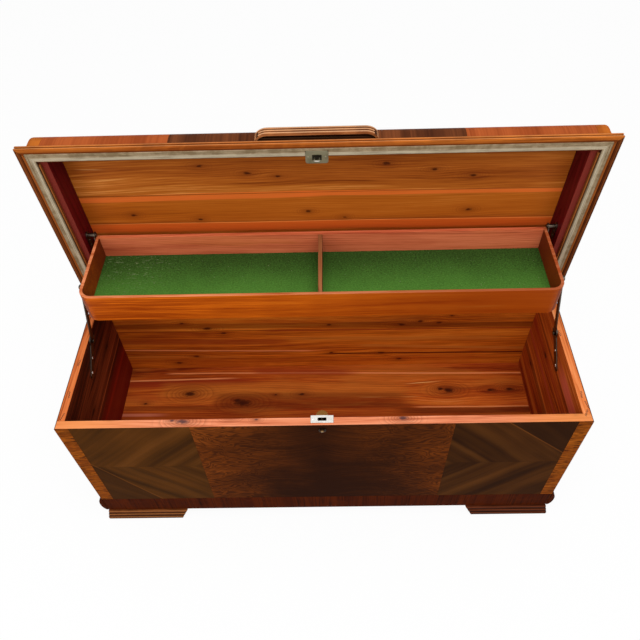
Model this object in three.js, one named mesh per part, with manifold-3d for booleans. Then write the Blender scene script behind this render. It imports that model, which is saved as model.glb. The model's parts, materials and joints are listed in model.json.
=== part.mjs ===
// Blanket chest with a waterfall lid and a tray that rises as the lid opens.
// Millimetres, Z up, the front of the chest towards minus Y, shown with the lid open.
// The origin is on the floor, under the middle of the open chest's outline.
// The lid, the tray and the two lift arms form a parallelogram linkage on each side:
// the hinge and the arm pivot are on the chest, the tray pivot is on the lid, and the
// tray stud closes the loop, so the tray stays level while it swings up and back.

import * as THREE from "three";
import { mergeVertices } from "three/addons/utils/BufferGeometryUtils.js";
import Module from "manifold-3d";

const wasm = await Module();
wasm.setup();

// General clearances and mesh quality
const glueLine = 0.3;
const runGap = 0.3;
const overrun = 2;
const weldGap = 0.0005;
const roundSteps = 24;
const arcSteps = 8;

// Chest body
const bodyWidth = 1130;
const bodyDepth = 400;
const rimHeight = 456;
const frontThickness = 20;
const sideThickness = 18;
const backThickness = 19;
const veneer = 1.5;
const floorTop = 150;
const floorThickness = 12;

// Front veneers, from the middle outwards
const centrePanelWidth = 558;
const cornerBandWidth = 30;

// Base and feet
const footHeight = 52;
const baseHeight = 62;
const baseBulge = 12;
const footProud = 4;
const footReedDepth = 3;
const footReeds = 3;
const footLength = 202;
const footInset = 2;
const footFlare = 14;
const footEndSlope = 23;
const footWidth = 72;

// Lock and push button, in the middle of the front rim
const lockSetback = 16;
const lockPlateWidth = 48;
const lockPlateDepth = 18;
const lockPlateThickness = 1.5;
const lockTabRadius = 13;
const lockCaseWidth = 44;
const lockCaseDepth = 18.5;
const lockCaseHeight = 42;
const lockSlotWidth = 18;
const lockSlotDepth = 8;
const lockLobeRadius = 3.6;
const lockLobeSpacing = 6;
const lockRoomHeight = 20;
const lockRoomGap = 1;
const lockCaseWall = 1.6;
const boltNoseLength = 4.5;
const boltNoseHeight = 3.4;
const boltNoseDrop = 1;
const boltThickness = 2.4;
const boltWidth = 5;
const buttonDrop = 17;
const buttonRadius = 4.8;
const buttonProud = 5;
const buttonTravel = 3.5;
const buttonDome = 1.2;
const buttonStemRadius = 1.6;
const buttonRingRadius = 8;
const buttonRingHeight = 1.8;

// Lid, measured upwards from its underside and inwards from its moulding's tip
const gasketGap = 3;
const lidOpenDegrees = 87;
const lidHeight = 82;
const frontOverhang = 17.5;
const sideOverhang = 35;
const mouldingFrontOut = 12.5;
const mouldingSideOut = 15;
const mouldingHeight = 13.5;
const mouldingLip = 7;
const beadDepth = 2.4;
const beadGroove = 1;
const frameFront = 31;
const frameSide = 40.5;
const gasketFrontWidth = 17.5;
const gasketSideWidth = 18;
const gasketFrontInset = 10.5;
const gasketSideInset = 19;
const gasketThickness = 2.4;
const waterfallRadius = 38;
const lidEndRound = 14;
const lidTopThickness = 10;
const liningThickness = 5;
const liningJoint = 240;
const noseThickness = 16;
const lidRailLedge = 13.5;
const lidBackRailThickness = 18;
const stripeVeneerWidth = 600;
const lidEndBandWidth = 25;

// Pull on the lid's front
const pullWidth = 250;
const pullBottom = 19;
const pullHeight = 22;
const pullOut = 23;
const pullCornerWidth = 28;
const pullReeds = 3;
const pullReedDepth = 1.6;
const pullLipThickness = 4;
const pullGripDepth = 15;
const pullBaseThickness = 4;

// Strike on the lid
const strikeWidth = 46;
const strikeInset = 16;
const strikeDepth = 31;
const strikeThickness = 1.5;
const strikeCorner = 5;
const loopWidth = 13;
const loopWire = 2.6;
const loopDrop = 10;

// Hinges
const hingeOut = 4;
const hingeWidth = 90;
const hingeCentre = 380;
const hingeLeafHeight = 38;
const hingeLeafThickness = 1.8;
const hingeBarrelRadius = 3.2;
const hingePinRadius = 1.5;
const hingeBoreGap = 0.25;
const hingeKnuckles = 5;

// Lift linkage: the tray pivot on the lid, and the arm pivot on the chest
const pivotReach = 154;
const pivotRise = 34;
const armPivotForward = 154;
const armPivotDrop = 15.5;
const pinRadius = 2.4;
const pinBoreGap = 0.35;
const pinHeadRadius = 4.5;
const pinHeadThickness = 1.6;
const plateThickness = 2.2;
const armThickness = 2.8;
const armWidth = 13;
const armFlat = 14;
const wallPlateWidth = 17;
const wallPlateLength = 82;
const wallPlateDegrees = 51;
const wallPlateHeadRadius = 14;
const stopRadius = 2.2;
const stopUp = 6;
const lidPlateWidth = 17;
const lidPlateLength = 46;

// Tray
const trayWidth = 1050;
const trayDepth = 200;
const trayHeight = 74;
const trayWall = 7;
const trayCorner = 28;
const trayBackThickness = 9;
const trayBelowPivot = 6;
const trayBehindPivot = 4;
const trayFloorUp = 11;
const trayFloorThickness = 4;
const feltThickness = 1.6;
const dividerThickness = 9;
const dividerDrop = 1.5;
const bracketThickness = 2;
const bracketWidth = 14;
const bracketLength = 54;
const earRadius = 7.5;
const studFlangeRadius = 7.5;
const studFlangeThickness = 1.5;

// Places worked out from the sizes
const halfBody = bodyWidth / 2;
const innerHalf = halfBody - sideThickness;
const baseTop = footHeight + baseHeight;
const hingeY = bodyDepth + hingeOut;
const hingeZ = rimHeight + gasketGap / 2;
const lidUnder = gasketGap / 2;
const lidTip = -(hingeY + frontOverhang);
const lidBack = -hingeOut;
const lidHalf = halfBody + sideOverhang;
const lidTop = lidUnder + lidHeight;
const lidFront = lidTip + mouldingFrontOut;
const lidEnd = lidHalf - mouldingSideOut;
const lidInner = lidHalf - frameSide - lidRailLedge;
const openAngle = THREE.MathUtils.degToRad(lidOpenDegrees);
const trayHalf = trayWidth / 2;

function openPoint(y, z) {
  return {
    y: hingeY + y * Math.cos(openAngle) + z * Math.sin(openAngle),
    z: hingeZ - y * Math.sin(openAngle) + z * Math.cos(openAngle),
  };
}

const trayPivot = openPoint(-pivotReach, pivotRise);
const armPivot = { y: hingeY - armPivotForward, z: hingeZ - armPivotDrop };
const armLength = Math.hypot(pivotReach, pivotRise);
const armLean = Math.atan2(trayPivot.y - hingeY, trayPivot.z - hingeZ);
const outlineFront = -Math.max(footProud, buttonProud);
const outlineBack = openPoint(lidBack, lidTop).y;

// Materials
function finish(color, roughness, metalness) {
  return new THREE.MeshStandardMaterial({ color, roughness, metalness });
}

const cedar = () => finish(0x9c5424, 0.55, 0);
const paleCedar = () => finish(0xd88450, 0.6, 0);
const redCedar = () => finish(0x8c3c22, 0.55, 0);
const maroonCedar = () => finish(0x561214, 0.5, 0);
const walnut = () => finish(0x4d2a12, 0.35, 0);
const crotchWalnut = () => finish(0x5c2610, 0.35, 0);
const goldenBand = () => finish(0x99581c, 0.38, 0);
const redBand = () => finish(0x6a2a0c, 0.38, 0);
const reeded = () => finish(0xa8642a, 0.4, 0);
const lidVeneer = () => finish(0x8d421f, 0.35, 0);
const stripedVeneer = () => finish(0x5e3320, 0.35, 0);
const feltGreen = () => finish(0x377434, 0.95, 0);
const gasketGrey = () => finish(0x8c8270, 0.8, 0);
const nickel = () => finish(0xc9c6bd, 0.25, 0.9);
const darkSteel = () => finish(0x5a534a, 0.4, 0.8);
const brass = () => finish(0xa88d52, 0.35, 0.85);

// Solids
function box(x0, x1, y0, y1, z0, z1) {
  const geometry = new THREE.BoxGeometry(x1 - x0, y1 - y0, z1 - z0);
  geometry.translate((x0 + x1) / 2, (y0 + y1) / 2, (z0 + z1) / 2);
  return geometry;
}

function outlineOf(points) {
  return new THREE.Shape(points.map(([a, b]) => new THREE.Vector2(a, b)));
}

function extruded(points, depth) {
  const settings = { depth, bevelEnabled: false, steps: 1 };
  return new THREE.ExtrudeGeometry(outlineOf(points), settings);
}

function alongX(points, x0, x1) {
  const geometry = extruded(points, x1 - x0);
  const turn = new THREE.Matrix4().makeBasis(
    new THREE.Vector3(0, 1, 0),
    new THREE.Vector3(0, 0, 1),
    new THREE.Vector3(1, 0, 0),
  );
  geometry.applyMatrix4(turn);
  geometry.translate(x0, 0, 0);
  return geometry;
}

function alongY(points, y0, y1) {
  const geometry = extruded(points, y1 - y0);
  geometry.rotateX(Math.PI / 2);
  geometry.translate(0, y1, 0);
  return geometry;
}

function alongZ(points, z0, z1) {
  const geometry = extruded(points, z1 - z0);
  geometry.translate(0, 0, z0);
  return geometry;
}

function rodX(radius, x0, x1, y, z) {
  const geometry = new THREE.CylinderGeometry(radius, radius, x1 - x0, roundSteps);
  geometry.rotateZ(Math.PI / 2);
  geometry.translate((x0 + x1) / 2, y, z);
  return geometry;
}

function rodY(radius, y0, y1, x, z) {
  const geometry = new THREE.CylinderGeometry(radius, radius, y1 - y0, roundSteps);
  geometry.translate(x, (y0 + y1) / 2, z);
  return geometry;
}

function rodZ(radius, z0, z1, x, y) {
  const geometry = new THREE.CylinderGeometry(radius, radius, z1 - z0, roundSteps);
  geometry.rotateX(Math.PI / 2);
  geometry.translate(x, y, (z0 + z1) / 2);
  return geometry;
}

function arc(cx, cy, rx, ry, from, to, steps = arcSteps) {
  const points = [];
  for (let i = 0; i <= steps; i += 1) {
    const a = THREE.MathUtils.degToRad(from + ((to - from) * i) / steps);
    points.push([cx + rx * Math.cos(a), cy + ry * Math.sin(a)]);
  }
  return points;
}

function roundedRect(x0, x1, y0, y1, r) {
  return [
    ...arc(x1 - r, y0 + r, r, r, -90, 0),
    ...arc(x1 - r, y1 - r, r, r, 0, 90),
    ...arc(x0 + r, y1 - r, r, r, 90, 180),
    ...arc(x0 + r, y0 + r, r, r, 180, 270),
  ];
}

// A closed solid through outlines of equal length, one for each level, from the bottom up.
function lofted(outlines, levels) {
  const count = outlines[0].length;
  const last = (outlines.length - 1) * count;
  const positions = outlines.flatMap((outline, i) => outline.flatMap(([x, y]) => [x, y, levels[i]]));
  const end = outlines[0].map(([x, y]) => new THREE.Vector2(x, y));
  const index = [];
  for (const [a, b, c] of THREE.ShapeUtils.triangulateShape(end, [])) {
    index.push(a, c, b, last + a, last + b, last + c);
  }
  for (let low = 0; low < last; low += count) {
    const high = low + count;
    for (let k = 0; k < count; k += 1) {
      const next = (k + 1) % count;
      index.push(low + k, low + next, high + next, low + k, high + next, high + k);
    }
  }
  const geometry = new THREE.BufferGeometry();
  geometry.setAttribute("position", new THREE.Float32BufferAttribute(positions, 3));
  geometry.setIndex(index);
  geometry.computeVertexNormals();
  return geometry;
}

// Joins and cuts
function solidOf(geometry) {
  const bare = geometry.clone();
  bare.deleteAttribute("normal");
  bare.deleteAttribute("uv");
  const merged = mergeVertices(bare, weldGap);
  return new wasm.Manifold(
    new wasm.Mesh({
      numProp: 3,
      vertProperties: new Float32Array(merged.attributes.position.array),
      triVerts: new Uint32Array(merged.index.array),
    }),
  );
}

function geometryOf(solid) {
  const mesh = solid.getMesh();
  const geometry = new THREE.BufferGeometry();
  geometry.setAttribute("position", new THREE.BufferAttribute(mesh.vertProperties, 3));
  geometry.setIndex(new THREE.BufferAttribute(mesh.triVerts, 1));
  geometry.computeVertexNormals();
  return geometry;
}

function joined(...geometries) {
  return geometryOf(geometries.map(solidOf).reduce((all, next) => all.add(next)));
}

function cut(geometry, ...tools) {
  return geometryOf(tools.map(solidOf).reduce((rest, tool) => rest.subtract(tool), solidOf(geometry)));
}

function common(a, b) {
  return geometryOf(solidOf(a).intersect(solidOf(b)));
}

function mirrored(geometry) {
  const copy = geometry.index ? geometry.toNonIndexed() : geometry.clone();
  const position = copy.attributes.position;
  for (let i = 0; i < position.count; i += 3) {
    const corners = [0, 1, 2].map((k) => new THREE.Vector3().fromBufferAttribute(position, i + k));
    [0, 2, 1].forEach((from, k) => {
      const p = corners[from];
      position.setXYZ(i + k, -p.x, p.y, p.z);
    });
  }
  copy.computeVertexNormals();
  return copy;
}

function add(parent, name, geometry, material) {
  const mesh = new THREE.Mesh(geometry, material);
  mesh.name = name;
  parent.add(mesh);
  return mesh;
}

// A piece drawn for the right side, and its mirror image on the left.
function addPair(parent, name, geometry, material) {
  add(parent, `right_${name}`, geometry, material());
  add(parent, `left_${name}`, mirrored(geometry), material());
}

// Chest body
function buildWalls(chest) {
  const wallHalf = halfBody - veneer;
  const buttonZ = rimHeight - buttonDrop;
  const caseFront = lockSetback - lockPlateDepth / 2 + glueLine;
  const front = cut(
    box(-wallHalf, wallHalf, veneer, frontThickness, baseTop, rimHeight),
    box(
      -lockCaseWidth / 2 - glueLine,
      lockCaseWidth / 2 + glueLine,
      caseFront,
      frontThickness + overrun,
      rimHeight - lockCaseHeight - lockPlateThickness - glueLine,
      rimHeight + overrun,
    ),
    box(
      -lockPlateWidth / 2 - glueLine,
      lockPlateWidth / 2 + glueLine,
      lockSetback - lockPlateDepth / 2 - glueLine,
      frontThickness + overrun,
      rimHeight - lockPlateThickness,
      rimHeight + overrun,
    ),
    rodY(buttonRadius + runGap, -overrun, caseFront + overrun, 0, buttonZ),
  );
  add(chest, "front_board", front, paleCedar());
  const backFace = bodyDepth - backThickness;
  add(chest, "back_board", box(-wallHalf, wallHalf, backFace, bodyDepth, footHeight, rimHeight), cedar());
  const side = box(innerHalf, wallHalf, frontThickness, backFace, footHeight, rimHeight);
  addPair(chest, "side_board", side, cedar);
  const floor = box(-innerHalf, innerHalf, frontThickness, backFace, floorTop - floorThickness, floorTop);
  add(chest, "floor_panel", floor, cedar());
}

function buildVeneers(chest) {
  const centreHalf = centrePanelWidth / 2;
  const bandInner = halfBody - cornerBandWidth;
  const buttonZ = rimHeight - buttonDrop;
  const centre = cut(
    box(-centreHalf, centreHalf, 0, veneer, baseTop, rimHeight),
    rodY(buttonRadius + runGap, -overrun, veneer + overrun, 0, buttonZ),
  );
  add(chest, "centre_veneer", centre, crotchWalnut());
  addPair(chest, "chevron_veneer", box(centreHalf, bandInner, 0, veneer, baseTop, rimHeight), walnut);
  addPair(chest, "corner_band", box(bandInner, halfBody, 0, veneer, baseTop, rimHeight), goldenBand);
  const side = box(halfBody - veneer, halfBody, veneer, bodyDepth, footHeight, rimHeight);
  addPair(chest, "side_veneer", side, crotchWalnut);
}

function buildBase(chest) {
  const rail = box(-(halfBody - veneer), halfBody - veneer, 0, frontThickness, footHeight, baseTop);
  add(chest, "front_base_rail", rail, redBand());
  const middle = (footHeight + baseTop) / 2;
  const bulge = arc(halfBody, middle, baseBulge, baseHeight / 2, -90, 90, arcSteps + arcSteps);
  addPair(chest, "base_moulding", alongY(bulge, 0, bodyDepth), redBand);
}

// The reeds down one edge of a foot, from the top to the bottom.
function reedEdge(topA, bottomA, outwards) {
  const points = [];
  const reed = footHeight / footReeds;
  for (let i = 0; i < footReeds; i += 1) {
    const a = topA + ((bottomA - topA) * (i + 0.5)) / footReeds;
    const z = footHeight - reed * (i + 0.5);
    const half = arc(a, z, outwards * footReedDepth, reed / 2, 90, -90);
    points.push(...(i < footReeds - 1 ? half.slice(0, -1) : half));
  }
  return points;
}

function buildFeet(chest) {
  const outerTop = halfBody - footInset - footReedDepth;
  const innerTop = outerTop - footLength;
  const outerBottom = outerTop + footFlare;
  const elevation = [
    ...reedEdge(outerTop, outerBottom, 1),
    [innerTop + footEndSlope, 0],
    [innerTop, footHeight],
  ];
  const frontFace = footReedDepth - footProud;
  const sideView = [
    ...reedEdge(frontFace, frontFace, -1),
    [frontFace + footWidth, 0],
    [frontFace + footWidth, footHeight],
  ];
  const reach = halfBody + footFlare + overrun;
  const frontFoot = common(
    alongY(elevation, -footProud - overrun, footWidth + overrun),
    alongX(sideView, innerTop - overrun, reach),
  );
  addPair(chest, "front_foot", frontFoot, reeded);
  addPair(chest, "back_foot", alongY(elevation, bodyDepth - footWidth, bodyDepth), reeded);
}

// Lock: a case let into the front board, its plate on the rim, and the push button
function buildLock(chest) {
  const plateTop = rimHeight + glueLine;
  const plateUnder = plateTop - lockPlateThickness;
  const plateFront = lockSetback - lockPlateDepth / 2;
  const plateBack = lockSetback + lockPlateDepth / 2;
  const outline = [
    [-lockPlateWidth / 2, plateFront],
    [lockPlateWidth / 2, plateFront],
    [lockPlateWidth / 2, plateBack],
    ...arc(0, plateBack, lockTabRadius, lockTabRadius, 0, 180),
    [-lockPlateWidth / 2, plateBack],
  ];
  const slotTools = [-1, 0, 1].map((k) =>
    rodZ(lockLobeRadius, plateUnder - overrun, plateTop + overrun, k * lockLobeSpacing, lockSetback),
  );
  const slotBar = box(
    -lockSlotWidth / 2,
    lockSlotWidth / 2,
    lockSetback - lockSlotDepth / 2,
    lockSetback + lockSlotDepth / 2,
    plateUnder - overrun,
    plateTop + overrun,
  );
  add(chest, "lock_plate", cut(alongZ(outline, plateUnder, plateTop), slotBar, ...slotTools), nickel());

  const caseTop = plateUnder - glueLine;
  const caseFront = plateFront + glueLine + glueLine;
  const caseBack = caseFront + lockCaseDepth;
  const roomHalf = loopWidth / 2 + lockRoomGap;
  const roomFloor = caseTop - lockRoomHeight;
  const roomBack = caseBack - lockCaseWall;
  const buttonZ = rimHeight - buttonDrop;
  const buttonEnd = caseFront - glueLine;
  const lockCase = cut(
    box(-lockCaseWidth / 2, lockCaseWidth / 2, caseFront, caseBack, caseTop - lockCaseHeight, caseTop),
    box(-roomHalf, roomHalf, lockSetback - lockLobeRadius, roomBack, roomFloor, caseTop + overrun),
    rodY(buttonRadius + runGap, caseFront - overrun, buttonEnd + buttonTravel + glueLine, 0, buttonZ),
    rodY(buttonStemRadius + runGap, caseFront, lockSetback, 0, buttonZ),
  );
  add(chest, "lock_case", lockCase, brass());

  const noseFront = lockSetback - loopWire / 2 - runGap;
  const stemFront = lockSetback + loopWire / 2 + runGap;
  const boltTop = caseTop - boltNoseDrop;
  const boltHalf = boltWidth / 2;
  const bolt = joined(
    box(-boltHalf, boltHalf, stemFront, stemFront + boltThickness, roomFloor + runGap, boltTop),
    box(-boltHalf, boltHalf, noseFront, noseFront + boltNoseLength, boltTop - boltNoseHeight, boltTop),
  );
  add(chest, "lock_bolt", bolt, nickel());

  const ring = cut(
    rodY(buttonRingRadius, -buttonRingHeight, 0, 0, buttonZ),
    rodY(buttonRadius + runGap, -buttonRingHeight - overrun, overrun, 0, buttonZ),
  );
  add(chest, "button_ring", ring, brass());

  const stemEnd = stemFront - runGap;
  const headBack = stemEnd - buttonEnd;
  const headFront = stemEnd + buttonProud - buttonDome;
  const profile = [
    [0, 0],
    [buttonStemRadius, 0],
    [buttonStemRadius, headBack],
    [buttonRadius, headBack],
    ...arc(0, headFront, buttonRadius, buttonDome, 0, 90),
  ].map(([r, h]) => new THREE.Vector2(Math.max(r, 0), h));
  const button = add(chest, "push_button", new THREE.LatheGeometry(profile, roundSteps), nickel());
  button.rotation.x = Math.PI;
  button.position.set(0, stemEnd, buttonZ);
}

// Hinges: each leaf carries every other knuckle, and the pin is fast in the chest's leaf
function hingeLeaf(up, onLid) {
  const left = hingeCentre - hingeWidth / 2;
  const pitch = hingeWidth / hingeKnuckles;
  const near = onLid ? -hingeOut + glueLine : -hingeOut;
  const far = hingeLeafThickness + near;
  const start = up * (gasketGap / 2 + glueLine);
  const end = start + up * hingeLeafHeight;
  const pieces = [box(left, left + hingeWidth, near, far, Math.min(start, end), Math.max(start, end))];
  const tools = [];
  for (let i = 0; i < hingeKnuckles; i += 1) {
    const x0 = left + i * pitch;
    const x1 = x0 + pitch;
    if ((i % 2 === 0) !== onLid) {
      const inset0 = i > 0 ? runGap : 0;
      const inset1 = i < hingeKnuckles - 1 ? runGap : 0;
      pieces.push(rodX(hingeBarrelRadius, x0 + inset0, x1 - inset1, 0, 0));
      pieces.push(box(x0 + inset0, x1 - inset1, near, 0, Math.min(0, start), Math.max(0, start)));
    } else {
      const reach = hingeBarrelRadius + runGap;
      tools.push(box(x0 - runGap / 2, x1 + runGap / 2, near - overrun, reach, -reach, reach));
    }
  }
  const plate = joined(...pieces);
  return { plate, tools, left };
}

function buildHinges(chest, lid) {
  const bore = hingePinRadius + hingeBoreGap;
  const chestLeaf = hingeLeaf(-1, false);
  const pin = rodX(hingePinRadius, chestLeaf.left, chestLeaf.left + hingeWidth, 0, 0);
  const fixed = joined(cut(chestLeaf.plate, ...chestLeaf.tools), pin);
  fixed.translate(0, hingeY, hingeZ);
  addPair(chest, "hinge_chest_leaf", fixed, brass);
  const lidLeaf = hingeLeaf(1, true);
  const reach = lidLeaf.left + hingeWidth + overrun;
  const turning = cut(lidLeaf.plate, ...lidLeaf.tools, rodX(bore, lidLeaf.left - overrun, reach, 0, 0));
  addPair(lid, "hinge_lid_leaf", turning, brass);
}

// Lid shell: one outline from the side and one from the front, both rounded on top
function lidSection(inset, back) {
  return [
    [back, lidUnder],
    [lidFront + inset, lidUnder],
    ...arc(
      lidFront + waterfallRadius,
      lidTop - waterfallRadius,
      -(waterfallRadius - inset),
      waterfallRadius - inset,
      0,
      90,
      arcSteps,
    ),
    [back, lidTop - inset],
  ];
}

function lidElevation(inset) {
  const rx = lidEndRound;
  const rz = waterfallRadius;
  const half = arc(lidEnd - rx, lidTop - rz, rx - inset, rz - inset, 0, 90);
  return [
    [lidEnd - inset, lidUnder],
    ...half,
    ...half.map(([x, z]) => [-x, z]).reverse(),
    [-(lidEnd - inset), lidUnder],
  ];
}

function lidEnvelope(inset, back) {
  return common(
    alongX(lidSection(inset, back), -lidHalf, lidHalf),
    alongY(lidElevation(inset), lidTip, back + overrun),
  );
}

function buildLidShell(lid) {
  const inside = lidEnvelope(veneer, lidBack);
  const railTop = lidTop - lidTopThickness - glueLine;
  const railUnder = lidUnder + mouldingLip;
  const noseBack = lidFront + veneer + noseThickness;
  const rail = common(box(lidInner, lidEnd, noseBack + glueLine, lidBack, railUnder, railTop), inside);
  addPair(lid, "lid_end_rail", rail, maroonCedar);
  const shell = joined(
    box(-lidEnd, lidEnd, lidFront, noseBack, railUnder, lidTop),
    box(-lidEnd, lidEnd, lidFront, lidBack, railTop + glueLine, lidTop),
  );
  add(lid, "lid_shell", common(shell, inside), redCedar());
  const backRailFront = lidBack - lidBackRailThickness;
  const liningHalf = lidInner - glueLine;
  const backRail = box(-liningHalf, liningHalf, backRailFront, lidBack, lidUnder, railTop);
  add(lid, "lid_back_rail", backRail, redCedar());

  const liningFrom = noseBack + glueLine;
  const liningTo = backRailFront - glueLine;
  const ends = [liningFrom, -liningJoint, liningTo];
  for (let i = 1; i < ends.length; i += 1) {
    const y0 = ends[i - 1] + (i > 1 ? glueLine : 0);
    const piece = box(-liningHalf, liningHalf, y0, ends[i], railTop - liningThickness, railTop);
    add(lid, `lid_lining_board_${i}`, piece, cedar());
  }
}

function buildLidVeneers(lid) {
  const skin = veneer - glueLine;
  const bottom = lidUnder + mouldingHeight + glueLine;
  const above = (points) => points.map(([y, z]) => [y, Math.max(z, bottom)]);
  const outer = above(lidSection(0, lidBack)).slice(1);
  const inner = above(lidSection(skin, lidBack)).slice(1).reverse();
  const band = [...outer, ...inner];
  const stripeHalf = stripeVeneerWidth / 2;
  const endStart = lidEnd - lidEndBandWidth;
  add(lid, "lid_centre_veneer", alongX(band, -stripeHalf, stripeHalf), stripedVeneer());
  addPair(lid, "lid_veneer", alongX(band, stripeHalf + glueLine, endStart - glueLine), lidVeneer);
  const shell = cut(lidEnvelope(0, lidBack), lidEnvelope(skin, lidBack + overrun));
  const end = common(shell, box(endStart, lidHalf, lidTip, lidBack + overrun, bottom, lidTop + overrun));
  addPair(lid, "lid_end_band", end, goldenBand);
}

// Moulded frame round the lid's underside. The profile runs inwards from the tip.
function frameProfile(inner, out) {
  const bead = (mouldingHeight - beadGroove) / 2;
  const low = lidUnder;
  const high = lidUnder + mouldingHeight;
  const lower = arc(beadDepth, low + bead / 2, -beadDepth, bead / 2, -90, 90);
  const upper = arc(beadDepth, high - bead / 2, -beadDepth, bead / 2, -90, 90);
  return [
    [inner, low + mouldingLip - glueLine],
    [inner, low],
    ...lower,
    ...upper,
    [out - glueLine, high],
    [out - glueLine, low + mouldingLip - glueLine],
  ];
}

// A bar whose ends are moved by a rule of the distance from the tip, for mitred corners.
function mitredBar(profile, place) {
  const geometry = extruded(profile, 1);
  const position = geometry.attributes.position;
  for (let i = 0; i < position.count; i += 1) {
    const p = place(position.getX(i), position.getY(i), position.getZ(i));
    position.setXYZ(i, p[0], p[1], p[2]);
  }
  geometry.computeVertexNormals();
  return geometry;
}

function buildLidFrame(lid) {
  const front = mitredBar(frameProfile(frameFront, mouldingFrontOut), (d, z, t) => {
    const x = (lidHalf - d - glueLine) * (2 * t - 1);
    return [x, lidTip + d, z];
  });
  add(lid, "front_moulding", front, reeded());
  const side = mitredBar(frameProfile(frameSide, mouldingSideOut), (d, z, t) => {
    const mitre = lidTip + d + glueLine;
    return [lidHalf - d, mitre + (lidBack - mitre) * t, z];
  });
  addPair(lid, "side_moulding", side, reeded);

  const outX = lidHalf - gasketSideInset;
  const outY = lidTip + gasketFrontInset;
  const inX = outX - gasketSideWidth;
  const inY = outY + gasketFrontWidth;
  const strip = [
    [outX, lidBack],
    [inX, lidBack],
    [inX, inY],
    [-inX, inY],
    [-inX, lidBack],
    [-outX, lidBack],
    [-outX, outY],
    [outX, outY],
  ];
  const under = lidUnder - glueLine - gasketThickness;
  const notch = box(
    -strikeWidth / 2 - glueLine,
    strikeWidth / 2 + glueLine,
    lidTip + strikeInset - glueLine,
    inY + overrun,
    under - overrun,
    lidUnder + overrun,
  );
  add(lid, "lid_gasket", cut(alongZ(strip, under, lidUnder - glueLine), notch), gasketGrey());
}

// The pull's plan at one level: the corners away from the lid are rounded to its full depth.
function pullPlan(inset, back) {
  const cornerX = pullWidth / 2 - pullCornerWidth;
  const face = lidFront - glueLine;
  const across = pullCornerWidth - inset;
  const out = pullOut - inset;
  return [
    [-cornerX - across, back],
    ...arc(-cornerX, face, -across, -out, 0, 90),
    ...arc(cornerX, face, across, -out, 90, 0),
    [cornerX + across, back],
  ];
}

// The reeds run round the pull's edge, and its back is cut to the lid's front.
function buildPull(lid) {
  const bottom = lidUnder + pullBottom;
  const back = lidFront + waterfallRadius;
  const reed = pullHeight / pullReeds;
  const plans = [];
  const levels = [];
  for (let i = 0; i < pullReeds; i += 1) {
    const middle = bottom + reed * (i + 0.5);
    const half = arc(pullReedDepth, middle, -pullReedDepth, reed / 2, -90, 90);
    for (const [inset, z] of i > 0 ? half.slice(1) : half) {
      plans.push(pullPlan(inset, back));
      levels.push(z);
    }
  }
  const lip = pullReedDepth + pullLipThickness;
  const gripBack = lidFront - glueLine - pullBaseThickness;
  const grip = pullPlan(lip, gripBack).filter(([, y]) => y <= gripBack);
  const pocket = alongZ(grip, bottom - overrun, bottom + pullGripDepth);
  const lidBody = lidEnvelope(-glueLine, back + overrun);
  add(lid, "lid_pull", cut(lofted(plans, levels), pocket, lidBody), reeded());
}

function buildStrike(lid) {
  const y0 = lidTip + strikeInset;
  const under = lidUnder - glueLine - strikeThickness;
  const outline = roundedRect(-strikeWidth / 2, strikeWidth / 2, y0, y0 + strikeDepth, strikeCorner);
  const plate = alongZ(outline, under, lidUnder - glueLine);
  const loopY = lockSetback - hingeY;
  const loopEnd = under - loopDrop;
  const loopOuter = roundedRect(-loopWidth / 2, loopWidth / 2, loopEnd, under + glueLine, loopWire);
  const loopBody = alongY(loopOuter, loopY - loopWire / 2, loopY + loopWire / 2);
  const hole = box(
    -loopWidth / 2 + loopWire,
    loopWidth / 2 - loopWire,
    loopY - loopWire,
    loopY + loopWire,
    loopEnd + loopWire,
    under,
  );
  add(lid, "strike_plate", joined(plate, cut(loopBody, hole)), nickel());
}

// Lift linkage
function slottedPlate(from, to, width) {
  const angle = THREE.MathUtils.radToDeg(Math.atan2(to[1] - from[1], to[0] - from[0]));
  const r = width / 2;
  return [
    ...arc(to[0], to[1], r, r, angle - 90, angle + 90),
    ...arc(from[0], from[1], r, r, angle + 90, angle + 270),
  ];
}

function buildWallPlates(chest) {
  const wall = innerHalf - glueLine;
  const near = wall - plateThickness;
  const armFar = near - runGap;
  const armNear = armFar - armThickness;
  const headFar = armNear - runGap;
  const slope = THREE.MathUtils.degToRad(wallPlateDegrees);
  const end = [
    armPivot.y - wallPlateLength * Math.sin(slope),
    armPivot.z - wallPlateLength * Math.cos(slope),
  ];
  const stopReach = armWidth / 2 + stopRadius + runGap;
  const stopY = armPivot.y + stopReach * Math.cos(armLean) + stopUp * Math.sin(armLean);
  const stopZ = armPivot.z - stopReach * Math.sin(armLean) + stopUp * Math.cos(armLean);
  const plate = joined(
    alongX(slottedPlate([armPivot.y, armPivot.z], end, wallPlateWidth), near, wall),
    rodX(wallPlateHeadRadius, near, wall, armPivot.y, armPivot.z),
    rodX(pinRadius, headFar - pinHeadThickness, near + glueLine, armPivot.y, armPivot.z),
    rodX(pinHeadRadius, headFar - pinHeadThickness, headFar, armPivot.y, armPivot.z),
    rodX(stopRadius, armNear, near + glueLine, stopY, stopZ),
  );
  addPair(chest, "wall_plate", plate, darkSteel);
}

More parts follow.
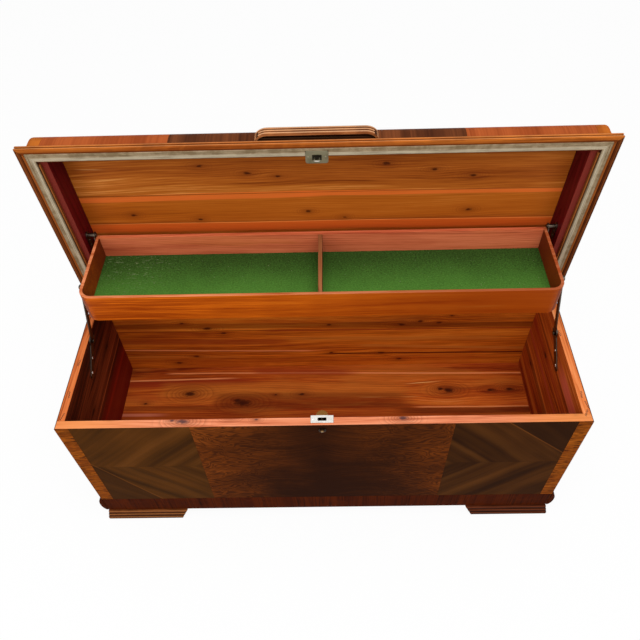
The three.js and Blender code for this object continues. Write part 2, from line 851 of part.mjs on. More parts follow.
// The arm is drawn upright from its pivot at the origin, joggled in towards the tray.
function buildArms(chest) {
  const farAtWall = innerHalf - glueLine - plateThickness - runGap;
  const nearAtWall = farAtWall - armThickness;
  const nearAtTray = trayHalf + glueLine + studFlangeThickness + runGap;
  const farAtTray = nearAtTray + armThickness;
  const bendLow = armFlat;
  const bendHigh = armLength - armFlat;
  const end = armLength + armWidth;
  const edge = [
    [nearAtWall, -armWidth],
    [farAtWall, -armWidth],
    [farAtWall, bendLow],
    [farAtTray, bendHigh],
    [farAtTray, end],
    [nearAtTray, end],
    [nearAtTray, bendHigh],
    [nearAtWall, bendLow],
  ];
  const strip = alongY(edge, -armWidth, armWidth);
  const outline = slottedPlate([0, 0], [0, armLength], armWidth);
  const bore = pinRadius + pinBoreGap;
  const arm = cut(
    common(strip, alongX(outline, nearAtTray - overrun, farAtWall + overrun)),
    rodX(bore, nearAtWall - overrun, farAtWall + overrun, 0, 0),
    rodX(bore, nearAtTray - overrun, farAtTray + overrun, 0, armLength),
  );
  const pivot = new THREE.Group();
  pivot.position.set(0, armPivot.y, armPivot.z);
  pivot.rotation.x = -armLean;
  chest.add(pivot);
  addPair(pivot, "lift_arm", arm, darkSteel);
}

function buildLidPlates(lid) {
  const far = lidInner - glueLine;
  const near = far - plateThickness;
  const earFar = trayHalf + glueLine + bracketThickness;
  const stemEnd = trayHalf - runGap - pinHeadThickness;
  const tail = [-pivotReach + lidPlateLength - lidPlateWidth, pivotRise];
  const plate = joined(
    alongX(slottedPlate([-pivotReach, pivotRise], tail, lidPlateWidth), near, far),
    rodX(pinHeadRadius, earFar + runGap, near + glueLine, -pivotReach, pivotRise),
    rodX(pinRadius, stemEnd, earFar + overrun, -pivotReach, pivotRise),
    rodX(pinHeadRadius, stemEnd, stemEnd + pinHeadThickness, -pivotReach, pivotRise),
  );
  addPair(lid, "lid_pivot_plate", plate, darkSteel);
}

// Tray, drawn round its pivot on the lid
function bentOutline(half, front, back, corner) {
  return [
    [half, back],
    ...arc(half - corner, front + corner, corner, -corner, 0, 90),
    ...arc(-half + corner, front + corner, -corner, -corner, 90, 0),
    [-half, back],
  ];
}

function buildTray(tray) {
  const top = -trayBelowPivot;
  const bottom = top - trayHeight;
  const back = trayBehindPivot;
  const front = back - trayDepth;
  const outer = bentOutline(trayHalf, front, back, trayCorner);
  const inner = bentOutline(trayHalf - trayWall, front + trayWall, back, trayCorner - trayWall);
  const rim = alongZ([...outer, ...inner.reverse()], bottom, top);
  add(tray, "tray_rim", rim, cedar());

  const innerX = trayHalf - trayWall;
  const backFace = back - trayBackThickness;
  add(tray, "tray_back", box(-innerX, innerX, backFace, back, bottom, top), redCedar());

  const floorUnder = bottom + trayFloorUp;
  const floorOver = floorUnder + trayFloorThickness;
  const floorEdge = bentOutline(innerX, front + trayWall, backFace, trayCorner - trayWall);
  add(tray, "tray_floor", alongZ(floorEdge, floorUnder, floorOver), cedar());

  const dividerHalf = dividerThickness / 2;
  const feltOver = floorOver + feltThickness;
  const feltFront = front + trayWall + glueLine;
  const feltEdge = bentOutline(innerX - glueLine, feltFront, backFace - glueLine, trayCorner - trayWall);
  add(tray, "tray_felt", alongZ(feltEdge, floorOver, feltOver), feltGreen());
  const divider = box(-dividerHalf, dividerHalf, front + trayWall, backFace, feltOver, top - dividerDrop);
  add(tray, "tray_divider", divider, paleCedar());

  const near = trayHalf + glueLine;
  const far = near + bracketThickness;
  const legFoot = earRadius - bracketLength;
  const legBack = back - glueLine;
  const leg = box(near, far, legBack - bracketWidth, legBack, legFoot, 0);
  const bracket = cut(
    joined(leg, rodX(earRadius, near, far, 0, 0)),
    rodX(pinRadius + pinBoreGap, near - overrun, far + overrun, 0, 0),
  );
  addPair(tray, "tray_bracket", bracket, darkSteel);

  const stem = near + studFlangeThickness + runGap + armThickness + runGap;
  const stud = joined(
    rodX(studFlangeRadius, near, near + studFlangeThickness, -armPivotForward, -armPivotDrop),
    rodX(pinRadius, near, stem + pinHeadThickness, -armPivotForward, -armPivotDrop),
    rodX(pinHeadRadius, stem, stem + pinHeadThickness, -armPivotForward, -armPivotDrop),
  );
  addPair(tray, "tray_stud", stud, darkSteel);
}

// Assembly
const chest = new THREE.Group();
chest.position.y = -(outlineFront + outlineBack) / 2;
const lid = new THREE.Group();
lid.position.set(0, hingeY, hingeZ);
lid.rotation.x = -openAngle;
chest.add(lid);
const tray = new THREE.Group();
tray.position.set(0, trayPivot.y, trayPivot.z);
chest.add(tray);

buildWalls(chest);
buildVeneers(chest);
buildBase(chest);
buildFeet(chest);
buildLock(chest);
buildHinges(chest, lid);
buildLidShell(lid);
buildLidVeneers(lid);
buildLidFrame(lid);
buildPull(lid);
buildStrike(lid);
buildWallPlates(chest);
buildArms(chest);
buildLidPlates(lid);
buildTray(tray);

const part = new THREE.Group();
part.add(chest);

export default part;
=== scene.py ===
"""Looks of a cedar lined blanket chest with a waterfall lid and a tray that rises with it."""

import json
import math

import bmesh
import bpy
from mathutils import Matrix, Vector


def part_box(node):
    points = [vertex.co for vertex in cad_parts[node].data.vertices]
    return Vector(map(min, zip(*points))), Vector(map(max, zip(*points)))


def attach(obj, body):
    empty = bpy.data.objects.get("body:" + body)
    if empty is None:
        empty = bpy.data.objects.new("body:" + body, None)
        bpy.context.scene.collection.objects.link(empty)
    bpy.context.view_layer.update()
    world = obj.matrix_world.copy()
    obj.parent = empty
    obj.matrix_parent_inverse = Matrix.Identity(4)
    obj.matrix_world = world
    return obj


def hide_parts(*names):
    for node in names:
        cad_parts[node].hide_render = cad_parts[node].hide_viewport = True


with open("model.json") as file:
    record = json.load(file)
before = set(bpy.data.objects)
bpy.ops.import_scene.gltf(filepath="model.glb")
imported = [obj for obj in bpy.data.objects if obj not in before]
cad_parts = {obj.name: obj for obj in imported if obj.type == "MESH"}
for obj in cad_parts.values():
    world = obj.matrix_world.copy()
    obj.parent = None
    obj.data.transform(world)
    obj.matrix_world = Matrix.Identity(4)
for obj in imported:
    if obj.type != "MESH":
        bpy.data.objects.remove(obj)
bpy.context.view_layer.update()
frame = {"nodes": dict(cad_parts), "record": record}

bl_info = {
    "name": "Blanket chest",
    "version": (1, 0, 0),
    "blender": (4, 5, 0),
    "location": "View3D > Sidebar > Chest",
    "description": "Builds the woods, metal, felt and small fittings of a blanket chest",
    "category": "Object",
}

NODES = frame["nodes"]
BODIES = frame["record"]["behaviour"]["bodies"]
BODY_OF = {node: body for body, nodes in BODIES.items() for node in nodes}

# Directions of the chest, and of the lid, which stands open and leans back a little
X, Y, Z = Vector((1, 0, 0)), Vector((0, 1, 0)), Vector((0, 0, 1))
LID_ANGLE = math.radians(87)
LID_UP = Vector((0, -math.cos(LID_ANGLE), math.sin(LID_ANGLE)))
LID_OUT = Vector((0, math.sin(LID_ANGLE), math.cos(LID_ANGLE)))
FLOOR_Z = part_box("floor_panel")[1].z
RIM_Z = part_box("front_board")[1].z

# How far edges are eased, in metres, in how many steps, and how sharp an edge has to be for it
METAL_EDGE, VENEER_EDGE, FELT_EDGE = 0.0002, 0.0003, 0.0004
REED_EDGE, MOULDING_EDGE = 0.0005, 0.0006
EDGE_STEPS, SHARP_EDGE = 2, math.radians(32)
# Corners nearer than this are one corner, and faces that differ by less than this are one face
SAME_POINT, SAME_FACE = 2e-6, math.radians(0.6)
# A knot's width is this share of its length along the grain
KNOT_STRETCH = 0.5
# How far the colour of an upper edge reaches down
CAP_DEPTH = 0.0006
# A screw head's sides, and its height, slot and top as shares of its radius
HEAD_SIDES, HEAD_HEIGHT, HEAD_SLOT, HEAD_TOP = 20, 0.5, 0.3, 0.88
# A rim fastener's points along its waves, half its length, and how far its middle is sunk
FASTENER_POINTS, FASTENER_HALF, FASTENER_SINK = 9, 0.0085, 0.0003
# Faces that screws lie on: a hinge leaf's from the back board, the others from the middle
LEAF_FACE, WALL_PLATE_FACE, PIVOT_PLATE_FACE, BRACKET_FACE = 0.0021, 0.5443, 0.5432, 0.5274
# Sheen of bare wood and rubber, of dull lacquer and of felt
MATT, LACQUER, NAP = ({"Specular IOR Level": level} for level in (0.04, 0.004, 0.05))

# The photograph is square: its side in pixels, and the camera's sensor in millimetres
IMAGE_SIDE, SENSOR = 640, 36.0
CAMERA_FOCAL, CAMERA_MIDDLE = 637.34, (323.0, 335.0)
CAMERA_PLACE = 0.02822, -0.933788, 1.60901
CAMERA_TURNS = (-2.18, "Z"), (50.9, "X"), (1.57, "Y")
LAMPS = ("lamp_above", (0.3, -1.2, 3.2), 2.6, 1.0), ("lamp_front", (-2.4, -2.6, 2.0), 2.0, 0.35)
LAMP_AIM = Vector((0, 0, 0.4))
WHITE, ROOM_LIGHT, SHADOW_LEFT = (1, 1, 1, 1), 0.62, 0.94


def tone(code):
    """A colour of the screen, written as six hex digits, in the linear form of a shader."""
    steps = (int(code[at : at + 2], 16) / 255 for at in (0, 2, 4))
    return (*(c / 12.92 if c <= 0.04045 else ((c + 0.055) / 1.055) ** 2.4 for c in steps), 1.0)


def palette(codes):
    """Several colours, from their codes with spaces between."""
    return tuple(tone(code) for code in codes.split())


RED, DARK, GOLD = palette("963018 541C0A CC7A2E")
SPLINTER = tone("FABE6E")
# Cedar seen on end at the rims, from its darkest streak to its palest, with the knots last
RIM_TONES = palette("AC5636 D07852 E28C64 EE9E76 F8BC96 4A3438")
SIDE_RIM_TONES = palette("96461E C26432 D4763E E2864E F0A46E 46281E")


# ---------------------------------------------------------------- node graphs


def math_node(kind, turned=False):
    """A method that puts its value, and others after it or before it, into one Math node."""

    def method(self, *others):
        values = others + (self,) if turned else (self,) + others
        return self.graph.node("ShaderNodeMath", {"operation": kind}, values)

    return method


class Value:
    """A socket of a node graph: sums and products on it add Math nodes."""

    def __init__(self, graph, socket):
        self.graph, self.socket = graph, socket

    def math(self, operation, *others):
        return math_node(operation)(self, *others)

    def vector_math(self, operation, *others, out=0):
        settings = {"operation": operation}
        return self.graph.node("ShaderNodeVectorMath", settings, (self,) + others, out)

    __add__ = __radd__ = math_node("ADD")
    __sub__, __rsub__ = math_node("SUBTRACT"), math_node("SUBTRACT", True)
    __mul__ = __rmul__ = math_node("MULTIPLY")
    __truediv__, __rtruediv__ = math_node("DIVIDE"), math_node("DIVIDE", True)
    __pow__, __gt__, __abs__ = (math_node(kind) for kind in ("POWER", "GREATER_THAN", "ABSOLUTE"))

    def part(self):
        """What is left of the value after its whole number."""
        return self.math("FRACT")

    def step(self, low, high):
        """0 below low, 1 above high and a smooth rise between; low may be above high."""
        settings = {"interpolation_type": "SMOOTHSTEP"}
        if low > high:
            return 1 - self.step(high, low)
        return self.graph.node("ShaderNodeMapRange", settings, {0: self, 1: low, 2: high})

    def along(self, axis):
        """How far the point lies along an axis, in metres."""
        return self.vector_math("DOT_PRODUCT", tuple(axis), out=1)

    def distance(self, place):
        return self.vector_math("DISTANCE", tuple(place), out=1)


class Graph:
    """A node tree with one method that adds any node."""

    def __init__(self, tree):
        self.tree = tree

    def node(self, kind, settings=None, values=(), out=0):
        made = self.tree.nodes.new(kind)
        for key, value in (settings or {}).items():
            if key == "stops":
                self.set_stops(made.color_ramp, value)
            else:
                setattr(made, key, value)
        for key, value in values.items() if isinstance(values, dict) else enumerate(values):
            if isinstance(value, Value):
                self.tree.links.new(value.socket, made.inputs[key])
            else:
                made.inputs[key].default_value = value
        return Value(self, made.outputs[out]) if len(made.outputs) else None

    @staticmethod
    def set_stops(ramp, stops):
        while len(ramp.elements) > 1:
            ramp.elements.remove(ramp.elements[-1])
        ramp.elements[0].position, ramp.elements[0].color = stops[0]
        for place, colour in stops[1:]:
            ramp.elements.new(place).color = colour

    def vector(self, x, y, z=0.0):
        return self.node("ShaderNodeCombineXYZ", {}, (x, y, z))


class Shader(Graph):
    """The node tree of one material."""

    def __init__(self, name):
        self.material = bpy.data.materials.new(name)
        self.material.use_nodes = True
        super().__init__(self.material.node_tree)
        self.tree.nodes.clear()
        self.colour = None

    def point(self):
        return self.node("ShaderNodeTexCoord", out=3)

    def noise(self, vector, detail=2.0, roughness=0.5, distortion=0.0, scale=1.0):
        """Soft noise of a vector, or of two or three coordinates."""
        vector = self.vector(*vector) if isinstance(vector, tuple) else vector
        values = {"Vector": vector, "Scale": scale, "Detail": detail, "Roughness": roughness}
        values["Distortion"] = distortion
        return self.node("ShaderNodeTexNoise", {"noise_dimensions": "3D"}, values)

    def mix(self, share, first, second):
        settings = {"data_type": "RGBA", "clamp_factor": True}
        return self.node("ShaderNodeMix", settings, {0: share, 6: first, 7: second}, 2)

    def shades(self, value, colours):
        """Colours from dark to pale, spread over the values that noise takes most."""
        first, last = 0.24, 0.78
        gap = (last - first) / (len(colours) - 1)
        stops = [(first + gap * i, colour) for i, colour in enumerate(colours)]
        return self.node("ShaderNodeValToRGB", {"stops": stops}, (value,))

    def lay(self, share, stain_and_light):
        """Mixes a stain, painted shade or a painted highlight into the material's colour."""
        self.colour = self.mix(share, self.colour, stain_and_light)

    def paint(self, place, trims):
        """Lays each trim's colour where all its ranges hold: painted shade in grooves, hollows and
        openings, painted highlights on beads and reeds, and stains.

        A range is an axis, the least and the most distance from the middle along it, and how
        softly it ends."""
        for ranges, stain_and_light, strength in trims:
            for axis, low, high, *soft in ranges:
                blur, reach = (soft or [0.0004])[0], abs(place.along(axis))
                inside = reach.step(low - blur, low + blur) * reach.step(high + blur, high - blur)
                strength = inside * strength
            self.lay(strength, stain_and_light)

    def surface(self, roughness, height, strength, depth, **fixed):
        """Ends the material with its colour and with relief of some strength and depth."""
        bump = {"Strength": strength, "Distance": depth, "Height": height}
        values = {"Base Color": self.colour, "Roughness": roughness, **fixed}
        values["Normal"] = self.node("ShaderNodeBump", {}, bump)
        skin = self.node("ShaderNodeBsdfPrincipled", {}, values)
        self.node("ShaderNodeOutputMaterial", {}, (skin,))
        return self.material

    def veneered(self, roughness, lines, hair, strength=0.08):
        """Ends the material as veneer under lacquer, with its fine grain in slight relief."""
        rough, height = roughness + (hair - 0.5) * 0.1, lines * 0.4 + hair * 0.6
        return self.surface(rough, height, strength, 0.0003, **LACQUER)


# ---------------------------------------------------------------- woods


def cedar(
    name, axes, tones, seed, joints=(), knots=(), streaks=(), cap=None, hues=0.0, trims=(),
    rings=190.0, contrast=1.8, roughness=0.5,
):
    """Cedar boards with flowing growth rings, streaks, and knots that the grain bows round.

    axes are the directions along the grain, across it and into the board. tones run from the
    darkest streak to the palest, with the knots' colour last. joints are the places across the
    grain where boards meet. A knot is its place along, across and into the board, and its radius.
    A streak is its start and end (along, across), half its width, its colour and its strength.
    cap is the height above which the second set of tones holds. hues is how strongly redder and
    more golden clouds cross the boards. trims are as in paint. rings is how many rings there are
    to a metre."""
    sh = Shader(name)
    place = sh.point()
    length, width, into = (place.along(axis) for axis in axes)
    flat = sh.vector(length * KNOT_STRETCH, width, into)
    board = sum(((width > joint) for joint in joints), 0.0)
    shift = board * 7.31 + seed
    ragged = sh.noise(flat, 3.0, 0.65, 0.8, 95.0) - 0.5
    flow, halo, eye = width, None, None
    for at, up, deep, size in knots:
        away = flat.distance((at * KNOT_STRETCH, up, deep))
        share = 3 * size * size / (away * away + 3 * size * size)
        flow = flow - (width - up) * share * 0.75
        spot = 1 - (away + ragged * size * 1.5).step(size * 0.25, size * 0.8)
        halo = share if halo is None else halo.math("MAXIMUM", share)
        eye = spot if eye is None else eye.math("MAXIMUM", spot)
    drift = sh.noise((length * 0.8 + shift, flow * 2.4, into * 2.4 + shift), 2.0) - 0.5
    grain = flow + drift * 0.07
    broad = sh.noise((length * 0.9 + shift, grain * 12, into * 12), 1.0)
    streak = sh.noise((length * 1.7 + shift, grain * 50 + shift, into * 50), 2.0, 0.6)
    line = sh.noise((length * 6 + shift, grain * 230, into * 230), 2.0, 0.65)
    fibre = sh.noise((length * 26, width * 620, into * 620), 1.0)
    late = (grain * rings + into * 60 + broad * 9 + streak * 0.8).part() ** 3.0
    kind = sh.noise((shift * 3.7, 0.4), 0.0) - 0.5
    value = (broad * 0.32 + streak * 0.34 + line * 0.34 - 0.5) * contrast + 0.5 + kind * 0.25
    value = value - late * 0.15 - (fibre - 0.5) * 0.2
    sh.colour = sh.shades(value, tones[:-1])
    if hues:
        hue = sh.noise((length * 2.2 + shift * 1.7, grain * 16, into * 16), 3.0, 0.6, 0.4)
        sh.lay(hue.step(0.5, 0.68) * hues, GOLD)
        sh.lay(hue.step(0.48, 0.34) * hues, RED)
    core = tones[-1]
    if cap:
        above, others = cap
        top = place.along(Z).step(above - CAP_DEPTH, above)
        sh.lay(top, sh.shades(value, others[:-1]))
        core = sh.mix(top, core, others[-1])
    wander = width + drift * 0.02 + (streak - 0.5) * 0.004 + (line - 0.5) * 0.002
    frayed = length + line * 0.05
    for from_x, from_up, to_x, to_up, half, stain_and_light, strength in streaks:
        slope = (to_up - from_up) / (to_x - from_x)
        off = abs(wander - length * slope - (from_up - slope * from_x)) / half
        band = (1 - off.step(0.55, 1.0)) * frayed.step(from_x, from_x + 0.05)
        band = band * (1 - frayed.step(to_x - 0.04, to_x + 0.04))
        sh.lay(band * strength * (0.75 + line * 0.5), stain_and_light or sapwood())
    height = late * 0.4 + fibre * 0.6
    if knots:
        swirl = ((halo + ragged * 0.05) * 8.0).part() ** 2.0 * halo.step(0.16, 0.4)
        sh.lay(halo.step(0.3, 0.9) * 0.3 + swirl * 0.36, tones[0])
        sh.lay(eye * (0.85 + ragged * 0.7), core)
        height = height - eye * 0.5
    for joint in joints:
        gap = 1 - abs(width - joint).step(0.0002, 0.001)
        sh.lay(gap * 0.6, tones[-1])
    sh.paint(place, trims)
    rough = roughness + (late - 0.5) * 0.08 + (streak - 0.5) * 0.1
    return sh.surface(rough, height, 0.25, 0.0005, **MATT)


def crossband(
    name, along, across, tones, seed, fineness=260.0, roughness=0.42,
    bars=0.0, dashes=0.0, mottle=0.0, trims=(),
):
    """Straight grained veneer under lacquer, with fine lines side by side and ripples of light.

    tones are the main colour, a darker one and that of the lines. bars is the number of joined
    strips a metre. dashes and mottle are the strengths of short dark dashes along the grain and
    of clouds. trims are as in paint."""
    light, dark, deep = tones
    sh = Shader(name)
    place = sh.point()
    length, width = place.along(along), place.along(across)
    waver = (sh.noise((length * 6 + seed, width * 5), 1.0) - 0.5) * 0.006
    lane = width + waver
    wide = sh.noise((length * 1.2 + seed, lane * fineness * 0.09), 2.0, 0.6)
    lines = sh.noise((length * 5 + seed, lane * fineness * 0.5), 3.0, 0.7)
    hair = sh.noise((length * 14, lane * fineness * 3.0 + seed), 2.0)
    sheen = sh.noise((length * 60 + wide * 4, width * 9 + seed), 1.0)
    sh.colour = sh.mix(wide.step(0.34, 0.68), light, dark)
    sh.lay(lines.step(0.46, 0.7) * 0.8, deep)
    sh.lay(hair.step(0.3, 0.7) * 0.4, deep)
    sh.lay(sheen.step(0.45, 0.75) * 0.25, light)
    if mottle:
        cloud = sh.noise((length * 7 + seed, width * 16, wide * 3), 3.0, 0.6, 0.6)
        sh.lay(cloud.step(0.42, 0.64) * mottle, deep)
        sh.lay(cloud.step(0.42, 0.3) * mottle, light)
    if bars:
        strip = (lane * bars + seed * 0.37).part()
        tint = sh.noise((lane * bars - strip, seed), 0.0)
        sh.lay(tint.step(0.4, 0.6) * 0.35, dark)
        sh.lay((1 - strip.step(0.0, 0.05)) * 0.6, deep)
    if dashes:
        dash = sh.noise((length * 42, width * 400 + seed), 1.0)
        sh.lay(dash.step(0.52, 0.62) * dashes, deep)
    sh.paint(place, trims)
    return sh.veneered(roughness, lines, hair)


def chevron(name, sign, seed, tones, bands, seams):
    """Walnut leaves laid in a V on its side: soft stripes that fold at half the height.

    sign is 1 for the left face and -1 for the right. A band is its place along the V, half its
    width, its colour and its strength. A seam runs from one place on the face to another, and
    beyond it lies a leaf with a stain of some strength."""
    low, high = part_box("left_chevron_veneer")
    middle = (low.z + high.z) / 2
    sh = Shader(name)
    place = sh.point()
    across, up = place.along(X) * sign, place.along(Z) - middle
    fold = abs(up)
    half = up > 0
    bow = sh.noise((across * 4 + seed, fold * 5, half), 1.0) - 0.5
    stripe = (across - fold) * math.sqrt(0.5) + bow * 0.02
    run = (across + fold) * math.sqrt(0.5) + half * 0.9
    wide = sh.noise((run * 1.1 + seed, stripe * 26), 2.0, 0.55)
    lines = sh.noise((run * 2.2 + seed, stripe * 110), 3.0, 0.65)
    hair = sh.noise((run * 14, stripe * 900), 2.0)
    gleam = sh.noise((run * 9 + seed, stripe * 20), 1.0)
    value = wide * 0.78 + lines * 0.22 - (hair - 0.5) * 0.1 + (gleam - 0.5) * 0.3
    sh.colour = sh.shades((value - 0.5) * 0.85 + 0.5, tones)
    for centre, wide_half, stain_and_light, strength in bands:
        band = 1 - (abs(stripe - centre) / wide_half).step(0.1, 1.0)
        sh.lay(band * strength * (0.7 + gleam * 0.6), stain_and_light)
    for (x_0, z_0), (x_1, z_1), stain_and_light, strength in seams:
        reach = math.hypot(x_1 - x_0, z_1 - z_0)
        rise, run_x = (z_1 - z_0) / reach, (x_1 - x_0) / reach
        beyond = (place.along(X) - x_0) * rise - (place.along(Z) - z_0) * run_x
        sh.lay(beyond.step(-0.0004, 0.0006) * strength, stain_and_light)
        line = 1 - abs(beyond + 0.0016).step(0.0006, 0.002)
        sh.lay(line * 0.22, tone("965420"))
    seam = 1 - fold.step(0.0002, 0.001)
    sh.lay(seam * 0.3, tones[0])
    return sh.veneered(0.42, lines, hair)


def crotch(name, seed):
    """Crotch walnut: dark along the middle, with feathered lines and curls towards its ends."""
    low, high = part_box("centre_veneer")
    sh = Shader(name)
    place = sh.point()
    across, up = place.along(X), place.along(Z) - (low.z + high.z) / 2
    side, fold = abs(across) / (high.x - low.x) * 2, abs(up)
    warp = sh.noise((across * 9 + seed, up * 14), 2.0, 0.5) - 0.5
    curl = sh.noise((across * 7 + warp * 1.6, up * 22 + seed), 3.0, 0.5, 0.7)
    lift = fold - (side - 0.35) * (side - 0.35) * 0.22
    feather = sh.noise((across * 5 + seed, (lift + warp * 0.012) * 190), 2.0, 0.6)
    whorl = (curl * 15 + side * 5 + fold * 30).part()
    figure = side.step(0.1, 0.6) * 0.8 + 0.2
    contour = (1 - abs(whorl - 0.5).step(0.08, 0.34)) * figure
    hair = sh.noise((across * 60, up * 700 + seed), 2.0, 0.6)
    broad = sh.noise((across * 4, up * 7 + seed), 2.0, 0.5, 0.8)
    value = side * 0.3 + broad * 0.4 + feather * 0.26 + (up * 0.8 - across * 0.12) * 0.5
    value = value - (hair - 0.5) * 0.14 + (curl - 0.5) * 0.2
    tones = palette("281106 381907 4C2309 622E0B 783C12")
    sh.colour = sh.shades((value - 0.53) * 1.3 + 0.5, tones)
    sh.lay(contour * 0.62, tones[0])
    return sh.veneered(0.42, feather, hair, 0.07)


def metal(name, colour, dull, roughness, wear=0.4, trims=()):
    """Plated sheet metal with fine scratches, dull patches and darker spots."""
    sh = Shader(name)
    place = sh.point()
    cloud = sh.noise(place, 3.0, 0.6, 0.0, 60.0)
    fine = sh.noise(place, 2.0, 0.6, 0.0, 900.0)
    mask = cloud.step(0.45, 0.72) * wear + fine.step(0.6, 0.75) * wear * 0.4
    sh.colour = sh.mix(mask, colour, dull)
    sh.paint(place, trims)
    return sh.surface(roughness + mask * 0.35, fine, 0.08, 0.0003, Metallic=1.0)


def cloth_felt(name, light, dark, front, back):
    """Flocked felt: short fibres, darker towards the back, with specks and threads of lint."""
    sh = Shader(name)
    place = sh.point()
    patch = sh.noise(place, 3.0, 0.6, 0.3, 9.0)
    nap = sh.noise((place.along(X) * 260, place.along(Y) * 420), 3.0, 0.7, 0.5)
    fuzz = sh.noise(place, 2.0, 0.6, 0.0, 2600.0)
    lint = sh.noise(place, 1.0, 0.5, 0.0, 240.0).step(0.74, 0.78)
    thread = sh.noise((place.along(X) * 60, place.along(Y) * 330), 1.0, 0.5, 1.5)
    flat = sh.vector(place.along(X), place.along(Y))
    corner = flat.distance((-0.45, back - 0.02, 0)).step(0.16, 0.02)
    depth = (place.along(Y) + (patch - 0.5) * 0.05).step(front - 0.02, back)
    sh.colour = sh.mix(nap.step(0.3, 0.7) * 0.36 + depth * 0.74, light, dark)
    sh.lay(fuzz.step(0.55, 0.8) * 0.25, light)
    sh.lay(lint * 0.5 + thread.step(0.66, 0.7) * corner * 0.4, tone("96A078"))
    return sh.surface(0.95, nap * 0.5 + fuzz * 0.5, 0.5, 0.0008, **NAP)


def gasket_rubber(name, light, dark, inner_x, inner_up):
    """A dusty rubber strip with ribs along it, paler near its inner edge, where it is pressed,
    with painted shadow along its outer edge, under the moulding.
    """
    sh = Shader(name)
    place = sh.point()
    side = abs(place.along(X)) - inner_x
    top = place.along(LID_UP) - inner_up
    out = side.math("MAXIMUM", top)
    patch = sh.noise(place, 3.0, 0.65, 0.2, 40.0)
    grit = sh.noise(place, 2.0, 0.6, 0.0, 1400.0)
    beside = side > top
    run = place.along(LID_UP) * beside + place.along(X) * (1 - beside)
    smear = sh.noise((run * 14, out * 520), 3.0, 0.65)
    rib = abs((out * 300).part() - 0.5) * 2
    pressed = 1 - abs(out - 0.006 + (patch - 0.5) * 0.002).step(0.0022, 0.004)
    sh.colour = sh.mix(patch.step(0.35, 0.7) * 0.6 + out.step(0.008, 0.013) * 0.5, light, dark)
    sh.lay(pressed * 0.65, tone("BAAE96"))
    sh.lay(smear.step(0.45, 0.7) * 0.68, tone("5C4C36"))
    dirt = rib.step(0.78, 1.0) * 0.45 + grit.step(0.5, 0.75) * 0.25
    sh.lay(dirt, tone("403426"))
    # Painted shadow along the outer edge, under the moulding
    sh.lay(out.step(0.0022, 0.0012) * 0.7, tone("463624"))
    return sh.surface(0.8, rib * 0.6 + grit * 0.4, 0.4, 0.0008, **MATT)


# ---------------------------------------------------------------- shapes


def merged_copy(node, name):
    """A copy of a CAD node's mesh as a new object, with its loose triangles welded into faces."""
    mesh = NODES[node].data.copy()
    mesh.name = name
    mesh.materials.clear()
    shape = bmesh.new()
    shape.from_mesh(mesh)
    bmesh.ops.remove_doubles(shape, verts=shape.verts, dist=SAME_POINT)
    bmesh.ops.dissolve_limit(shape, angle_limit=SAME_FACE, verts=shape.verts, edges=shape.edges)
    shape.to_mesh(mesh)
    shape.free()
    made = bpy.data.objects.new(name, mesh)
    bpy.context.scene.collection.objects.link(made)
    return made


def settle(made, body, material=None):
    """Gives a finished piece its material, body and material slot."""
    if material is not None:
        made.data.materials.clear()
        made.data.materials.append(material)
    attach(made, body)
    return made


def refine(node, material, round_over):
    """Puts a copy in a CAD node's place, with edges eased as sanding or stamping leaves them."""
    made = merged_copy(node, "fine_" + node)
    made.data.polygons.foreach_set("use_smooth", [True] * len(made.data.polygons))
    bevel = made.modifiers.new("eased_edges", "BEVEL")
    bevel.width, bevel.segments, bevel.limit_method = round_over, EDGE_STEPS, "ANGLE"
    bevel.angle_limit, bevel.use_clamp_overlap = SHARP_EDGE, True
    bevel.miter_outer = "MITER_ARC"
    weigh = made.modifiers.new("flat_faces", "WEIGHTED_NORMAL")
    weigh.mode, weigh.weight, weigh.keep_sharp = "FACE_AREA", 50, False
    plain(made)
    settle(made, BODY_OF[node], material)
    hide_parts(node)
    return made


def refine_pair(name, material, round_over):
    """Refines the left and the right one of two like nodes."""
    for side in ("left_", "right_"):
        refine(side + name, material, round_over)


def plain(made):
    """Turns the result of an object's modifiers into its own mesh."""
    bpy.context.view_layer.update()
    finished = made.evaluated_get(bpy.context.evaluated_depsgraph_get())
    solid = bpy.data.meshes.new_from_object(finished)
    made.modifiers.clear()
    made.data = solid
    return made


class Recipe(Graph):
    """A Geometry Nodes tree with named sizes, for what repeats or follows a path."""

    def __init__(self, name, **sizes):
        tree = bpy.data.node_groups.new(name, "GeometryNodeTree")
        super().__init__(tree)
        kinds = {"Path": "NodeSocketGeometry", **{size: "NodeSocketFloat" for size in sizes}}
        sockets = tree.interface
        sockets.new_socket("Geometry", in_out="OUTPUT", socket_type="NodeSocketGeometry")
        self.sockets = {
            key: sockets.new_socket(key, in_out="INPUT", socket_type=kind)
            for key, kind in kinds.items()
        }
        self.source = tree.nodes.new("NodeGroupInput")
        self.sizes = sizes

    def size(self, name):
        return Value(self, self.source.outputs[name])

    def carried(self, name):
        """A vector that each point of the path carries."""
        settings = {"data_type": "FLOAT_VECTOR"}
        return self.node("GeometryNodeInputNamedAttribute", settings, {"Name": name})

    def close(self, geometry, material):
        """Ends the tree: the geometry is made real and gets its material."""
        whole = self.node("GeometryNodeRealizeInstances", {}, (geometry,))
        values = {"Geometry": whole, "Material": material}
        finished = self.node("GeometryNodeSetMaterial", {}, values)
        self.tree.links.new(finished.socket, self.tree.nodes.new("NodeGroupOutput").inputs[0])

    def grow(self, name, points, edges, body, slot, **vectors):
        """Runs the tree on points and edges that carry vectors, and keeps what it makes."""
        mesh = bpy.data.meshes.new(name)
        mesh.from_pydata([tuple(point) for point in points], edges, [])
        for key, values in vectors.items():
            held = mesh.attributes.new(key, "FLOAT_VECTOR", "POINT")
            held.data.foreach_set("vector", [number for value in values for number in value])
        made = bpy.data.objects.new(name, mesh)
        bpy.context.scene.collection.objects.link(made)
        grower = made.modifiers.new("recipe", "NODES")
        grower.node_group = self.tree
        for size, value in self.sizes.items():
            grower[self.sockets[size].identifier] = value
        plain(made)
        return settle(made, body)


# ---------------------------------------------------------------- settings


